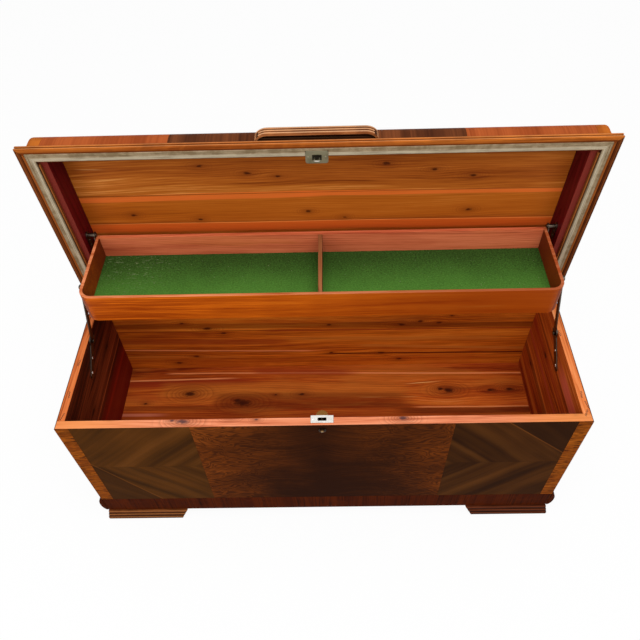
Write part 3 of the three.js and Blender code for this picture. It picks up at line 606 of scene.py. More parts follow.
def colour_of(name, description, code):
    """A colour that a user may change."""
    return bpy.props.FloatVectorProperty(
        name=name, description=description, subtype="COLOR", size=4, default=tone(code),
        min=0, max=1,
    )


def length_of(name, description, default, most, least=0.0):
    """A length that a user may change, in metres."""
    return bpy.props.FloatProperty(
        name=name, description=description, subtype="DISTANCE", unit="LENGTH", default=default,
        min=least, max=most,
    )


class ChestWoodSettings(bpy.types.PropertyGroup):
    """Colours and edges of the woods"""

    cedar_1: colour_of("Cedar, darkest", "Darkest streaks of the cedar", "601E0C")
    cedar_2: colour_of("Cedar, dark", "Dark streaks of the cedar", "923812")
    cedar_3: colour_of("Cedar, heart", "Main colour of the cedar", "B8541A")
    cedar_4: colour_of("Cedar, light", "Light streaks of the cedar", "D26C26")
    cedar_5: colour_of("Cedar, palest", "Palest streaks of the cedar", "EC9854")
    knot: colour_of("Knots", "Colour inside a knot", "34120A")
    sapwood: colour_of("Sapwood", "Pale wood along the joints", "F2985C")
    eased: length_of("Eased edges", "Rounding of the wooden edges", 0.0007, 0.003)


class ChestFittingSettings(bpy.types.PropertyGroup):
    """Colours and sizes of the metal fittings"""

    nickel: colour_of("Nickel", "Plating of the lock", "F4F2EC")
    steel: colour_of("Steel", "Plates and arms of the lift", "584E44")
    screw_head: length_of("Screw head", "Radius of a screw head", 0.0034, 0.01)


class ChestTraySettings(bpy.types.PropertyGroup):
    """Colours of the tray's lining"""

    felt: colour_of("Felt", "Raised nap of the felt", "5C963A")
    felt_dark: colour_of("Felt shade", "Pressed nap of the felt", "263814")


class ChestStageSettings(bpy.types.PropertyGroup):
    """Floor and light"""

    floor_size: length_of("Floor", "Width of the floor", 14.0, 50.0, 2.0)
    lamp_watts: bpy.props.FloatProperty(
        name="Lamp", description="Strength of the large lamp above", unit="POWER", default=70.0,
        min=0, max=1000,
    )


# ---------------------------------------------------------------- operators


def cedar_tones(context):
    woods = context.scene.chest_wood
    return tuple(tuple(getattr(woods, f"cedar_{i}")) for i in range(1, 6)) + (tuple(woods.knot),)


def sapwood():
    return tuple(bpy.context.scene.chest_wood.sapwood)


def lid_place(x, up, out):
    """A place on the lid from its distance along, up and out of the leaning lid."""
    return X * x + LID_UP * up + LID_OUT * out


def trim(stain_and_light, strength, *ranges):
    """A stain, painted shade or painted highlight laid where all the ranges hold, as Shader.paint
    takes it.
    """
    return ranges, stain_and_light, strength


def near(axis, middle, half, soft):
    """The range that lies within half of a distance along an axis."""
    return axis, middle - half, middle + half, soft


def screws(name, body, slot, colour, radius, places):
    """Countersunk slotted screw heads.

    Each place has its centre, the way that the head faces and the line of its slot."""
    sizes = {"Radius": radius, "Height": radius * HEAD_HEIGHT, "Slot": radius * HEAD_SLOT}
    recipe = Recipe(name + "_recipe", **sizes)
    size, height = recipe.size("Radius"), recipe.size("Height")

    def lifted(geometry, rise):
        values = {"Geometry": geometry, "Translation": recipe.vector(0.0, 0.0, rise)}
        return recipe.node("GeometryNodeTransform", {}, values)

    def aligned(settings, **values):
        return recipe.node("FunctionNodeAlignRotationToVector", settings, values)

    head = recipe.node("GeometryNodeMeshCone", {"fill_type": "TRIANGLE_FAN"}, {
        "Vertices": HEAD_SIDES, "Radius Top": size * HEAD_TOP, "Radius Bottom": size,
        "Depth": height,
    })
    cutter = {"Size": recipe.vector(size * 2.4, recipe.size("Slot"), height)}
    groove = lifted(recipe.node("GeometryNodeMeshCube", {}, cutter), height)
    values = {"Mesh 1": head, "Mesh 2": groove}
    head = recipe.node("GeometryNodeMeshBoolean", {"operation": "DIFFERENCE"}, values)
    head = lifted(head, height * -0.7)
    facing = aligned({"axis": "Z"}, Vector=recipe.carried("facing"))
    axes = {"axis": "X", "pivot_axis": "Z"}
    turned = aligned(axes, Rotation=facing, Vector=recipe.carried("turn"))
    values = {"Points": recipe.size("Path"), "Instance": head, "Rotation": turned}
    heads = recipe.node("GeometryNodeInstanceOnPoints", {}, values)
    dark = tuple(channel * 0.35 for channel in colour[:3]) + (1.0,)
    recipe.close(heads, metal(name + "_metal", colour, dark, 0.3))
    points, facings, turns = zip(*places)
    return recipe.grow(name, points, [], body, slot, facing=facings, turn=turns)


def rim_fasteners(places):
    """Corrugated steel fasteners let into the rim, each with its centre and the way it runs."""
    recipe = Recipe("fastener_recipe", Wave=0.0017, Thickness=0.0015, Proud=0.0008)
    line = recipe.node("GeometryNodeMeshToCurve", {}, {0: recipe.size("Path")})
    line = recipe.node("GeometryNodeResampleCurve", {}, {"Curve": line, "Count": FASTENER_POINTS})
    odd = recipe.node("GeometryNodeInputIndex").math("MODULO", 2.0) * 2.0 - 1.0
    aside = recipe.carried("turn").vector_math("SCALE")
    recipe.tree.links.new((odd * recipe.size("Wave")).socket, aside.socket.node.inputs["Scale"])
    line = recipe.node("GeometryNodeSetPosition", {}, {"Geometry": line, "Offset": aside})
    sizes = {"Width": recipe.size("Thickness"), "Height": recipe.size("Proud")}
    section = recipe.node("GeometryNodeCurvePrimitiveQuadrilateral", {}, sizes)
    values = {"Curve": line, "Profile Curve": section, "Fill Caps": True}
    strip = recipe.node("GeometryNodeCurveToMesh", {}, values)
    recipe.close(strip, metal("fastener_steel", tone("423836"), tone("221C1B"), 0.55))
    points, edges, turns = [], [], []
    for place, run in places:
        edges.append((len(points), len(points) + 1))
        points += [place - run * FASTENER_HALF, place + run * FASTENER_HALF]
        turns += [Z.cross(run)] * 2
    return recipe.grow("rim_fasteners", points, edges, "chest", "dark_steel", turn=turns)


# Knots and streaks of the boards, as cedar takes them; a streak without a colour is sapwood
FRONT_KNOTS = [(x, RIM_Z, y, size) for x, y, size in (
    (-0.295, -0.226, 0.0105), (-0.318, -0.224, 0.005), (-0.194, -0.217, 0.006),
    (-0.139, -0.224, 0.0035), (-0.452, -0.219, 0.003), (0.170, -0.226, 0.0085),
    (0.506, -0.221, 0.0035), (0.531, -0.224, 0.003), (0.28, -0.218, 0.0025),
)]
BACK_KNOTS = [(x, z, 0.14, size) for x, z, size in (
    (-0.368, 0.344, 0.006), (-0.306, 0.322, 0.009), (-0.265, 0.301, 0.006), (0.016, 0.329, 0.006),
    (0.204, 0.326, 0.009), (0.253, 0.338, 0.008), (0.303, 0.331, 0.006), (0.333, 0.357, 0.005),
    (0.209, 0.176, 0.007), (0.157, 0.206, 0.007), (-0.41, 0.174, 0.008), (-0.355, 0.203, 0.007),
    (-0.505, 0.135, 0.007), (0.02, 0.21, 0.005),
)]
BACK_STREAKS = (
    (-0.6, 0.334, 0.6, 0.318, 0.013, DARK, 0.5),
    (-0.15, 0.309, 0.6, 0.304, 0.003, RED, 0.7),
    (-0.6, 0.272, -0.08, 0.262, 0.014, RED, 0.5),
    (-0.6, 0.236, 0.0, 0.221, 0.0035, None, 0.8),
    (0.0, 0.207, 0.6, 0.198, 0.004, DARK, 0.9),
    (0.1, 0.24, 0.6, 0.214, 0.007, GOLD, 0.6),
    (-0.6, 0.205, -0.2, 0.2, 0.007, GOLD, 0.4),
    (-0.1, 0.276, 0.5, 0.262, 0.01, GOLD, 0.4),
)
FLOOR_KNOTS = [(x, y, FLOOR_Z, size) for x, y, size in (
    (-0.372, 0.0495, 0.014), (-0.223, 0.0175, 0.016), (-0.238, 0.026, 0.009),
    (0.338, 0.0495, 0.0125), (0.318, 0.054, 0.008), (0.452, 0.0475, 0.0075),
    (0.505, 0.0505, 0.01), (-0.134, 0.043, 0.004), (-0.062, 0.044, 0.007), (-0.49, 0.02, 0.005),
)]
FLOOR_STREAKS = (
    (-0.6, 0.094, -0.24, 0.099, 0.0035, None, 0.85),
    (-0.6, 0.083, -0.17, 0.088, 0.012, RED, 0.6),
    (-0.44, 0.119, 0.6, 0.103, 0.0032, None, 0.75),
    (-0.2, 0.12, 0.1, 0.112, 0.012, RED, 0.6),
    (0.25, -0.003, 0.6, -0.006, 0.003, None, 0.6),
    (0.2, -0.014, 0.6, -0.017, 0.012, DARK, 0.6),
    (-0.6, -0.016, -0.42, -0.018, 0.006, tone("EC8C6E"), 0.6),
    (-0.56, 0.005, -0.27, 0.0, 0.01, DARK, 0.5),
    (0.235, 0.074, 0.33, 0.082, 0.0016, SPLINTER, 0.8),
    (0.11, 0.031, 0.165, 0.031, 0.0014, SPLINTER, 0.8),
    (0.225, 0.031, 0.262, 0.031, 0.0014, SPLINTER, 0.8),
    (-0.6, 0.04, -0.43, 0.035, 0.02, RED, 0.3),
    (-0.45, 0.062, 0.25, 0.054, 0.032, GOLD, 0.35),
    (-0.3, 0.024, 0.25, 0.018, 0.034, DARK, 0.5),
    (-0.6, -0.03, 0.6, -0.034, 0.03, DARK, 0.25),
)
LEFT_WALL, RIGHT_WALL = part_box("left_side_board")[1].x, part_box("right_side_board")[0].x
LEFT_KNOTS = (
    (-0.05, 0.38, LEFT_WALL, 0.008), (0.06, 0.352, LEFT_WALL, 0.006),
    (-0.12, 0.33, LEFT_WALL, 0.007),
)
LEFT_STREAKS = (
    (-0.24, 0.2, 0.2, 0.2, 0.09, tone("7A160C"), 0.7),
    (-0.24, 0.29, 0.2, 0.29, 0.0028, tone("B0582E"), 0.6),
    (-0.24, 0.245, 0.2, 0.238, 0.006, tone("A02410"), 0.4),
)
RIGHT_KNOTS = (
    (0.165, 0.273, RIGHT_WALL, 0.009), (0.014, 0.349, RIGHT_WALL, 0.008),
    (0.07, 0.24, RIGHT_WALL, 0.006),
)
RIGHT_STREAKS = (
    (-0.24, 0.25, 0.2, 0.245, 0.014, DARK, 0.6),
    (-0.24, 0.36, 0.2, 0.345, 0.012, RED, 0.6),
    (-0.22, 0.404, -0.06, 0.41, 0.022, tone("D6644C"), 0.8),
    (-0.24, 0.19, 0.2, 0.18, 0.012, GOLD, 0.5),
    (-0.24, 0.31, 0.2, 0.3, 0.007, tone("B04630"), 0.7),
    (-0.24, 0.385, 0.2, 0.38, 0.005, DARK, 0.6),
)
LINING = min(v.co.dot(LID_OUT) for v in NODES["lid_lining_board_1"].data.vertices)
LINING_KNOTS = [(x, up, LINING, size) for x, up, size in (
    (-0.257, 0.767, 0.006), (-0.155, 0.745, 0.0064), (-0.09, 0.735, 0.0048),
    (-0.434, 0.629, 0.0058), (-0.281, 0.612, 0.005), (-0.027, 0.631, 0.0055),
    (0.147, 0.764, 0.0064), (0.252, 0.745, 0.0064), (0.339, 0.727, 0.0072),
    (0.344, 0.627, 0.006), (0.058, 0.61, 0.005),
)]
LINING_STREAKS = (
    (-0.7, 0.644, 0.7, 0.644, 0.043, tone("BC6014"), 0.5),
    (-0.7, 0.68, 0.02, 0.683, 0.0095, tone("E26C2A"), 0.85),
    (-0.05, 0.6845, 0.7, 0.681, 0.007, tone("E26C2A"), 0.85),
    (-0.7, 0.588, 0.7, 0.59, 0.0175, tone("DA5E20"), 0.8),
    (-0.7, 0.602, 0.7, 0.602, 0.0014, tone("F08C42"), 0.7),
    (-0.6, 0.81, -0.1, 0.815, 0.014, DARK, 0.15),
    (0.05, 0.79, 0.6, 0.795, 0.018, DARK, 0.2),
    (-0.51, 0.762, -0.47, 0.76, 0.0016, SPLINTER, 0.8),
    (0.1, 0.8, 0.3, 0.81, 0.006, GOLD, 0.5),
)
# Where the rim's fasteners lie, and how far each leans from the chest's depth
FASTENERS = (
    (-0.553, -0.067, 0.12), (-0.554, -0.154, -0.1), (-0.555, -0.21, 0.3), (0.549, -0.003, -0.1),
    (0.556, -0.173, 0.15), (0.561, -0.199, -0.2), (0.555, -0.219, 0.5),
)


class CHEST_OT_carcass(bpy.types.Operator):
    """Cedar boards of the chest's walls and floor"""

    bl_idname = "chest.carcass"
    bl_label = "Carcass"

    def execute(self, context):
        main = cedar_tones(context)
        gold = palette("84360F BA5815 DA721D EA8C2B FAB264 42180A")
        # The left wall's tones are dark partly for its own redder board and partly as painted
        # shade, for that wall lies in shade
        red = palette("301008 54200F 743218 8A3E20 B4623A 220C08")
        ends = trim(tone("E8924A"), 0.6, (X, 0.43, 0.62, 0.1), (Z, RIM_Z - CAP_DEPTH, 1.0))
        front_rim, side_rim = (RIM_Z, RIM_TONES), (RIM_Z, SIDE_RIM_TONES)
        upright, endways, lying = (X, Z, Y), (Y, Z, X), (X, Y, Z)
        for node, name, axes, tones, seed, joints, knots, streaks, cap, hues, contrast, trims in (
            ("front_board", "front", upright, main, 2.0, (0.29,),
             FRONT_KNOTS, (), front_rim, 0.0, 1.8, (ends,)),
            ("back_board", "back_wall", upright, gold, 5.2, (0.19, 0.312),
             BACK_KNOTS, BACK_STREAKS, front_rim, 0.3, 1.4, ()),
            ("floor_panel", "floor", lying, main, 11.7, (),
             FLOOR_KNOTS, FLOOR_STREAKS, None, 0.4, 1.35, ()),
            ("left_side_board", "left_wall", endways, red, 8.1, (),
             LEFT_KNOTS, LEFT_STREAKS, side_rim, 0.0, 2.0, ()),
            ("right_side_board", "right_wall", endways, main, 3.3, (),
             RIGHT_KNOTS, RIGHT_STREAKS, side_rim, 0.5, 2.0, ()),
        ):
            look = cedar(
                name + "_cedar", axes, tones, seed, joints, knots, streaks, cap, hues, trims,
                contrast=contrast,
            )
            refine(node, look, context.scene.chest_wood.eased)
        rim_fasteners([
            (Vector((x, y, RIM_Z - FASTENER_SINK)), (Y + X * lean).normalized())
            for x, y, lean in FASTENERS
        ])
        return {"FINISHED"}


class CHEST_OT_veneers(bpy.types.Operator):
    """Walnut and crossbanded veneers of the front and the sides"""

    bl_idname = "chest.veneers"
    bl_label = "Front and side veneers"

    def execute(self, context):
        dark, light = palette("281507 623A16")
        left_bands = (
            (-0.283, 0.012, dark, 0.35), (-0.235, 0.016, dark, 0.25), (-0.2, 0.014, dark, 0.35),
            (-0.33, 0.024, light, 0.22), (-0.255, 0.012, light, 0.28), (-0.215, 0.008, light, 0.2),
        )
        right_bands = (
            (-0.3, 0.022, dark, 0.3), (-0.26, 0.013, light, 0.3), (-0.33, 0.018, light, 0.22),
            (-0.215, 0.012, dark, 0.3), (-0.19, 0.02, light, 0.25),
        )
        left_seam = (-0.529, 0.289), (-0.421, 0.129), tone("301A09"), 0.6
        right_seam = (0.533, 0.329), (0.383, 0.467), tone("281408"), 0.7
        left_tones = palette("261406 392009 4B2A0C 5A3310 6E4219")
        right_tones = palette("1E0F06 2D1708 3C200A 4A290E 5E3715")
        for side, sign, seed, tones, bands, seam in (
            ("left", 1, 1.3, left_tones, left_bands, left_seam),
            ("right", -1, 4.9, right_tones, right_bands, right_seam),
        ):
            face = chevron("walnut_chevron_" + side, sign, seed, tones, bands, (seam,))
            refine(side + "_chevron_veneer", face, VENEER_EDGE)
        refine("centre_veneer", crotch("crotch_walnut", 4.0), VENEER_EDGE)
        golden = palette("A85A16 86400E 3E1A06")
        band = crossband("golden_crossband", X, Z, golden, 3.0, 420.0, bars=30.0, dashes=0.9)
        refine_pair("corner_band", band, VENEER_EDGE)
        side = crossband("side_walnut", Y, Z, palette("78421A 582C11 32180A"), 7.0, 200.0)
        refine_pair("side_veneer", side, VENEER_EDGE)
        return {"FINISHED"}


class CHEST_OT_base(bpy.types.Operator):
    """Base band, rounded base mouldings and stepped feet"""

    bl_idname = "chest.base"
    bl_label = "Base and feet"

    def execute(self, context):
        red = palette("541E03 3E1302 1A0702")
        rail = crossband("red_base_band", Z, X, red, 2.0, 300.0, bars=22.0)
        refine("front_base_rail", rail, MOULDING_EDGE)
        bulge = crossband("red_base_moulding", Z, X, red, 6.0, 300.0)
        refine_pair("base_moulding", bulge, MOULDING_EDGE)
        # The right foot's tones and crest colour are darker as painted shade, for that foot stands
        # in shadow
        for side, seed, tones, crest_highlight in (
            ("left", 9.0, palette("824822 5C2E14 301509"), tone("B47642")),
            ("right", 13.0, palette("542614 3A180C 1E0C06"), tone("7E4228")),
        ):
            # Painted shade in the grooves between the beads, and painted highlights along the
            # upper part of each bead
            shaded_grooves, lit_crests = (0.0173, 0.0347), (0.0128, 0.0302, 0.0476)
            trims = [trim(tone("140804"), 0.95, near(Z, z, 0.002, 0.0009)) for z in shaded_grooves]
            trims += [trim(crest_highlight, 0.6, near(Z, z, 0.0014, 0.0012)) for z in lit_crests]
            foot = crossband(side + "_foot_wood", X, Z, tones, seed, 180.0, trims=trims)
            for end in ("front", "back"):
                refine(f"{side}_{end}_foot", foot, context.scene.chest_wood.eased)
        return {"FINISHED"}


class CHEST_OT_lock(bpy.types.Operator):
    """Lock plate, case, bolt, push button and strike plate"""

    bl_idname = "chest.lock"
    bl_label = "Lock"

    def execute(self, context):
        nickel = tuple(context.scene.chest_fitting.nickel)
        lobe = trim(tone("8C602E"), 1.0, (Y, 0.19, 0.2158), (Z, 0.45, 0.46))
        plate = metal("lock_nickel", nickel, tone("CECAC0"), 0.24, 0.3, (lobe,))
        refine("lock_plate", plate, METAL_EDGE)
        inside = metal("lock_inside", tone("2C241C"), tone("14100C"), 0.45)
        for node in ("lock_case", "lock_bolt"):
            refine(node, inside, METAL_EDGE)
        low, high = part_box("strike_plate")
        middle = (low + high).dot(LID_UP) / 2
        # Painted shade inside the strike plate's opening; the loop is laid bright, partly for its
        # nickel and partly as a painted highlight
        shaded_window = trim(
            tone("181410"), 0.95,
            (X, -0.01, 0.0095), (LID_UP, middle - 0.0078, middle + 0.0052), (LID_OUT, 0.186, 0.19),
        )
        nickel_loop_highlight = trim(
            tone("F4F2EC"), 0.9,
            (X, -0.01, 0.0085), (LID_UP, middle - 0.012, middle - 0.0012), (LID_OUT, 0.1, 0.1855),
        )
        dull = tone("8C866C"), tone("605A46")
        strike = metal("strike_nickel", *dull, 0.36, 0.5, (shaded_window, nickel_loop_highlight))
        refine("strike_plate", strike, METAL_EDGE)
        # Painted highlight: a bright glint in the middle of the push button
        glint_colour, brown, ring = palette("A88454 543A22 281A10")
        glint = (X, -0.01, 0.0022, 0.0008), (Z, RIM_Z - 0.019, RIM_Z - 0.0145, 0.0008)
        button = metal("button_bronze", brown, ring, 0.3, 0.4, (trim(glint_colour, 0.9, *glint),))
        refine("push_button", button, METAL_EDGE)
        refine("button_ring", metal("ring_bronze", ring, tone("46301E"), 0.4), METAL_EDGE)
        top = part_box("lock_plate")[1].z
        screws("lock_screws", "chest", "nickel", nickel, 0.0017, [
            ((-0.0195, -0.2262, top), Z, X + Y * 0.4),
            ((0.0195, -0.2262, top), Z, X - Y * 0.7),
        ])
        screws("strike_screws", "lid", "nickel", tone("AAA48C"), 0.0017, [
            (lid_place(-0.0175, middle + 0.001, 0.1863), -LID_OUT, X - Z * 0.5),
            (lid_place(0.0175, middle + 0.001, 0.1863), -LID_OUT, X + Z),
        ])
        return {"FINISHED"}


class CHEST_OT_hinges(bpy.types.Operator):
    """Butt hinges at the back"""

    bl_idname = "chest.hinges"
    bl_label = "Hinges"

    def execute(self, context):
        brass, radius = tone("967E52"), context.scene.chest_fitting.screw_head
        brassy = metal("hinge_brass", brass, tone("4A3A26"), 0.36)
        chest_screws, lid_screws = [], []
        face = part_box("back_board")[1].y + LEAF_FACE
        for side in ("left", "right"):
            for leaf in ("chest", "lid"):
                refine(f"{side}_hinge_{leaf}_leaf", brassy, METAL_EDGE)
            low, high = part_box(side + "_hinge_chest_leaf")
            for share, turn in ((0.15, 0.3), (0.5, -0.8), (0.85, 1.4)):
                x = low.x + (high.x - low.x) * share
                chest_screws.append(((x, face, low.z + 0.012), Y, X + Z * turn))
                lid_screws.append((lid_place(x, 0.45, 0.214), -LID_UP, X + LID_OUT * turn))
        screws("hinge_screws", "chest", "brass", brass, radius, chest_screws)
        screws("lid_hinge_screws", "lid", "brass", brass, radius, lid_screws)
        return {"FINISHED"}


class CHEST_OT_lid(bpy.types.Operator):
    """Lid shell, its lining boards, rails, veneers and mouldings"""

    bl_idname = "chest.lid"
    bl_label = "Lid"

    def execute(self, context):
        eased = context.scene.chest_wood.eased
        self.lining(eased)
        self.shell(eased)
        self.mouldings()
        low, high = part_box("lid_gasket")
        top = max(corner.dot(LID_UP) for corner in (low, high))
        light, dark = tone("B29E80"), tone("806C50")
        rubber = gasket_rubber("gasket_rubber", light, dark, high.x - 0.018, top - 0.0175)
        refine("lid_gasket", rubber, MOULDING_EDGE)
        return {"FINISHED"}

    @staticmethod
    def lining(eased):
        """Cedar boards, with a painted joint between the second and a third."""
        tones = palette("76320F 964915 AB591B BC6925 D68A42 3A1409")
        axes, joints, marks = (X, LID_UP, LID_OUT), (0.603, 0.688), (LINING_KNOTS, LINING_STREAKS)
        look = cedar("lining_cedar", axes, tones, 21.0, joints, *marks, contrast=1.6)
        for node in ("lid_lining_board_1", "lid_lining_board_2"):
            refine(node, look, eased)

    @staticmethod
    def shell(eased):
        """Maroon cedar inside, and the veneers outside."""
        maroon = palette("3E0508 54090E 640E14 72161A 862A24 240406")
        # Painted light: the rails' ledge, which faces out of the lid, is laid lighter than their
        # inner faces
        lit_ledge = trim(tone("762C20"), 0.8, (LID_OUT, 0.19, 0.1956))
        rails = cedar(
            "maroon_rails", (LID_UP, X, LID_OUT), maroon, 14.0,
            trims=(lit_ledge,), contrast=0.9, roughness=0.4,
        )
        refine_pair("lid_end_rail", rails, eased)
        axes = X, LID_UP, LID_OUT
        shell = cedar("maroon_shell", axes, maroon, 17.0, contrast=1.2, roughness=0.4)
        for node in ("lid_shell", "lid_back_rail"):
            refine(node, shell, eased)
        reddish = palette("B45C2E A04C24 7E3618")
        red = crossband("lid_red_veneer", LID_UP, X, reddish, 4.0, 70.0, mottle=0.3)
        refine_pair("lid_veneer", red, VENEER_EDGE)
        striped = palette("8A4C2A 422214 26120C")
        stripes = crossband("lid_striped_veneer", LID_UP, X, striped, 12.0, 70.0, mottle=0.2)
        refine("lid_centre_veneer", stripes, VENEER_EDGE)
        golden = palette("DE8434 BA6222 783812")
        end = crossband("lid_end_veneer", X, LID_UP, golden, 5.0, 260.0)
        refine_pair("lid_end_band", end, VENEER_EDGE)

    @staticmethod
    def mouldings():
        """The moulded frame round the underside and the reeded pull, with painted shade in their
        grooves and hollows and painted highlights on their beads and reeds.
        """
        bead_highlight, groove, shade = palette("E09A62 461A0A 622A0E")
        tip = (LID_UP, 0.8585, 1.0, 0.003)
        # Painted shade on the front moulding's underside towards the gasket, in the groove between
        # its beads and along the gasket, painted highlights on the beads' crests, and a dark joint
        # against the veneer
        trims = [
            trim(shade, 0.85, (LID_OUT, 0.18, 0.1889, 0.0005), (LID_UP, 0.0, 0.862, 0.005)),
            trim(groove, 0.9, (LID_OUT, 0.1938, 0.196, 0.0007), tip),
            trim(bead_highlight, 0.6, (LID_OUT, 0.1906, 0.1924, 0.0008), tip),
            trim(bead_highlight, 0.5, (LID_OUT, 0.1976, 0.199, 0.0008), tip),
            trim(groove, 0.8, (LID_OUT, 0.2008, 0.203, 0.0004)),
            trim(groove, 0.6, (LID_UP, 0.8598, 0.8612, 0.0006), (LID_OUT, 0.18, 0.19)),
        ]
        bead = palette("B86626 944818 5A260C")
        front = crossband("moulding_front", X, LID_UP, bead, 6.0, 220.0, trims=trims)
        refine("front_moulding", front, REED_EDGE)
        # Painted shade in the side mouldings' grooves
        groove_shade = tone("281008")
        trims = [
            trim(tone("A65C26"), 0.55, (X, 0.5825, 0.5872, 0.0008)),
            trim(groove_shade, 0.85, (X, 0.588, 0.5896, 0.0006)),
            trim(tone("B87036"), 0.5, (X, 0.5595, 0.5618, 0.0006)),
            trim(tone("925024"), 0.45, (X, 0.5936, 0.5956, 0.0008)),
            trim(groove_shade, 0.8, (LID_OUT, 0.1938, 0.196, 0.0007), (X, 0.592, 0.61)),
        ]
        # Painted shade: the side mouldings are laid dark brown, for they lie in shadow
        brown = palette("703816 50240E 2C1208")
        side = crossband("moulding_side", LID_UP, X, brown, 8.0, 220.0, trims=trims)
        refine_pair("side_moulding", side, REED_EDGE)
        # Painted shade in the reeds' valleys and inside the pull's hollow, and painted highlights
        # on the reeds' crests
        reed_highlight, reed_shade = palette("ECBA8C 3E1A0A")
        shaded_valleys, lit_crests = (0.2144, 0.2218), (0.2104, 0.218, 0.2256)
        shaded_hollow = (X, -0.01, 0.1195), (LID_UP, 0.8614, 0.8749), (LID_OUT, 0.2074, 0.2226)
        trims = [trim(reed_shade, 0.85, near(LID_OUT, out, 0.001, 0.0008)) for out in shaded_valleys]
        trims += [trim(reed_highlight, 0.6, near(LID_OUT, out, 0.0012, 0.0012)) for out in lit_crests]
        trims.append(trim(tone("2E1207"), 0.92, *shaded_hollow))
        glossy = palette("BE7A48 965228 5C2A12")
        pull = crossband("pull_wood", X, LID_UP, glossy, 11.0, 240.0, 0.3, trims=trims)
        refine("lid_pull", pull, MOULDING_EDGE)


class CHEST_OT_lift(bpy.types.Operator):
    """Plates, arms, brackets and studs that raise the tray"""

    bl_idname = "chest.lift"
    bl_label = "Tray lift"

    def execute(self, context):
        steel = metal("lift_steel", tuple(context.scene.chest_fitting.steel), tone("322820"), 0.32)
        wall, lid, bracket = [], [], []
        for side, sign in (("left", -1), ("right", 1)):
            for name in ("wall_plate", "lid_pivot_plate", "lift_arm", "tray_bracket", "tray_stud"):
                refine(f"{side}_{name}", steel, VENEER_EDGE)
            for y, z in ((-0.0229, 0.4162), (-0.0503, 0.394)):
                wall.append(((sign * WALL_PLATE_FACE, y, z), X * -sign, Y + Z * y * 30))
            for up in (0.5865, 0.5725):
                place = lid_place(sign * PIVOT_PLATE_FACE, up, 0.2206)
                lid.append((place, X * -sign, LID_UP + LID_OUT * (up * 90 - 52)))
            for z in (0.5735, 0.5905):
                place = sign * BRACKET_FACE, 0.1855, z
                bracket.append((place, X * sign, Y + Z * (z * 60 - 34.9)))
        for name, body, colour, radius, places in (
            ("wall_plate_screws", "chest", tone("F0EEE8"), 0.0038, wall),
            ("lid_plate_screws", "lid", tone("584E44"), 0.0028, lid),
            ("bracket_screws", "tray", tone("786E62"), 0.0028, bracket),
        ):
            screws(name, body, "dark_steel", colour, radius, places)
        return {"FINISHED"}


class CHEST_OT_tray(bpy.types.Operator):
    """Bent tray rim, back, floor, divider and felt"""

    bl_idname = "chest.tray"
    bl_label = "Tray"

    def execute(self, context):
        eased, settings = context.scene.chest_wood.eased, context.scene.chest_tray
        orange = palette("943A06 BC560C D66911 E67A19 F69C3C 5A1E0C")
        edge = palette("B45C34 CE764A DE8A5E EA986C F4B084 5A2810")
        # Painted shade on the inner faces of the rim's ends, deeper and more maroon towards the
        # back
        shade, maroon = palette("703016 541810")
        low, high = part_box("tray_rim")
        inner = (X, 0.51, high.x - 0.0035), (Z, 0.0, high.z - 0.001)
        # Overlapping streaks darken the front by and by towards the right
        starts = -0.24, -0.12, -0.02, 0.07, 0.15, 0.22, 0.3
        rim = cedar(
            "tray_rim_cedar", (X, Z, Y), orange, 31.0,
            streaks=[(start, 0.57, 0.56, 0.57, 0.06, tone("843006"), 0.2) for start in starts],
            cap=(high.z, edge), rings=320.0, contrast=1.8,
            trims=[
                trim(shade, 0.7, *inner, (Y, 0.0, 1.0)),
                trim(maroon, 0.5, *inner, (Y, 0.12, 1.0, 0.05)),
            ],
        )
        refine("tray_rim", rim, eased)
        pink = palette("923A24 BE5A38 D26E48 DC7C52 EC9C6E 5A1E14")
        back = cedar("tray_back_cedar", (X, Z, Y), pink, 33.0, hues=0.2, contrast=1.1)
        refine("tray_back", back, eased)
        refine("tray_floor", cedar("tray_floor_cedar", (X, Y, Z), orange, 35.0), eased)
        # Painted shade and light: the divider's sides are laid dark, for they lie in shadow, and
        # its top edge paler, as it is lit
        dull = palette("3E1B0C 4E2511 5C2F16 6A391C 7E4A28 32160C")
        pale = palette("703E22 864E2D 965C38 A26741 B27850 3C1A0E")
        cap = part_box("tray_divider")[1].z, pale
        divider = cedar("tray_divider_cedar", (Y, Z, X), dull, 37.0, cap=cap)
        refine("tray_divider", divider, eased)
        low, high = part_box("tray_felt")
        colours = tuple(settings.felt), tuple(settings.felt_dark)
        look = cloth_felt("green_felt", *colours, low.y, high.y)
        felt = refine("tray_felt", look, FELT_EDGE)
        return {"FINISHED"}


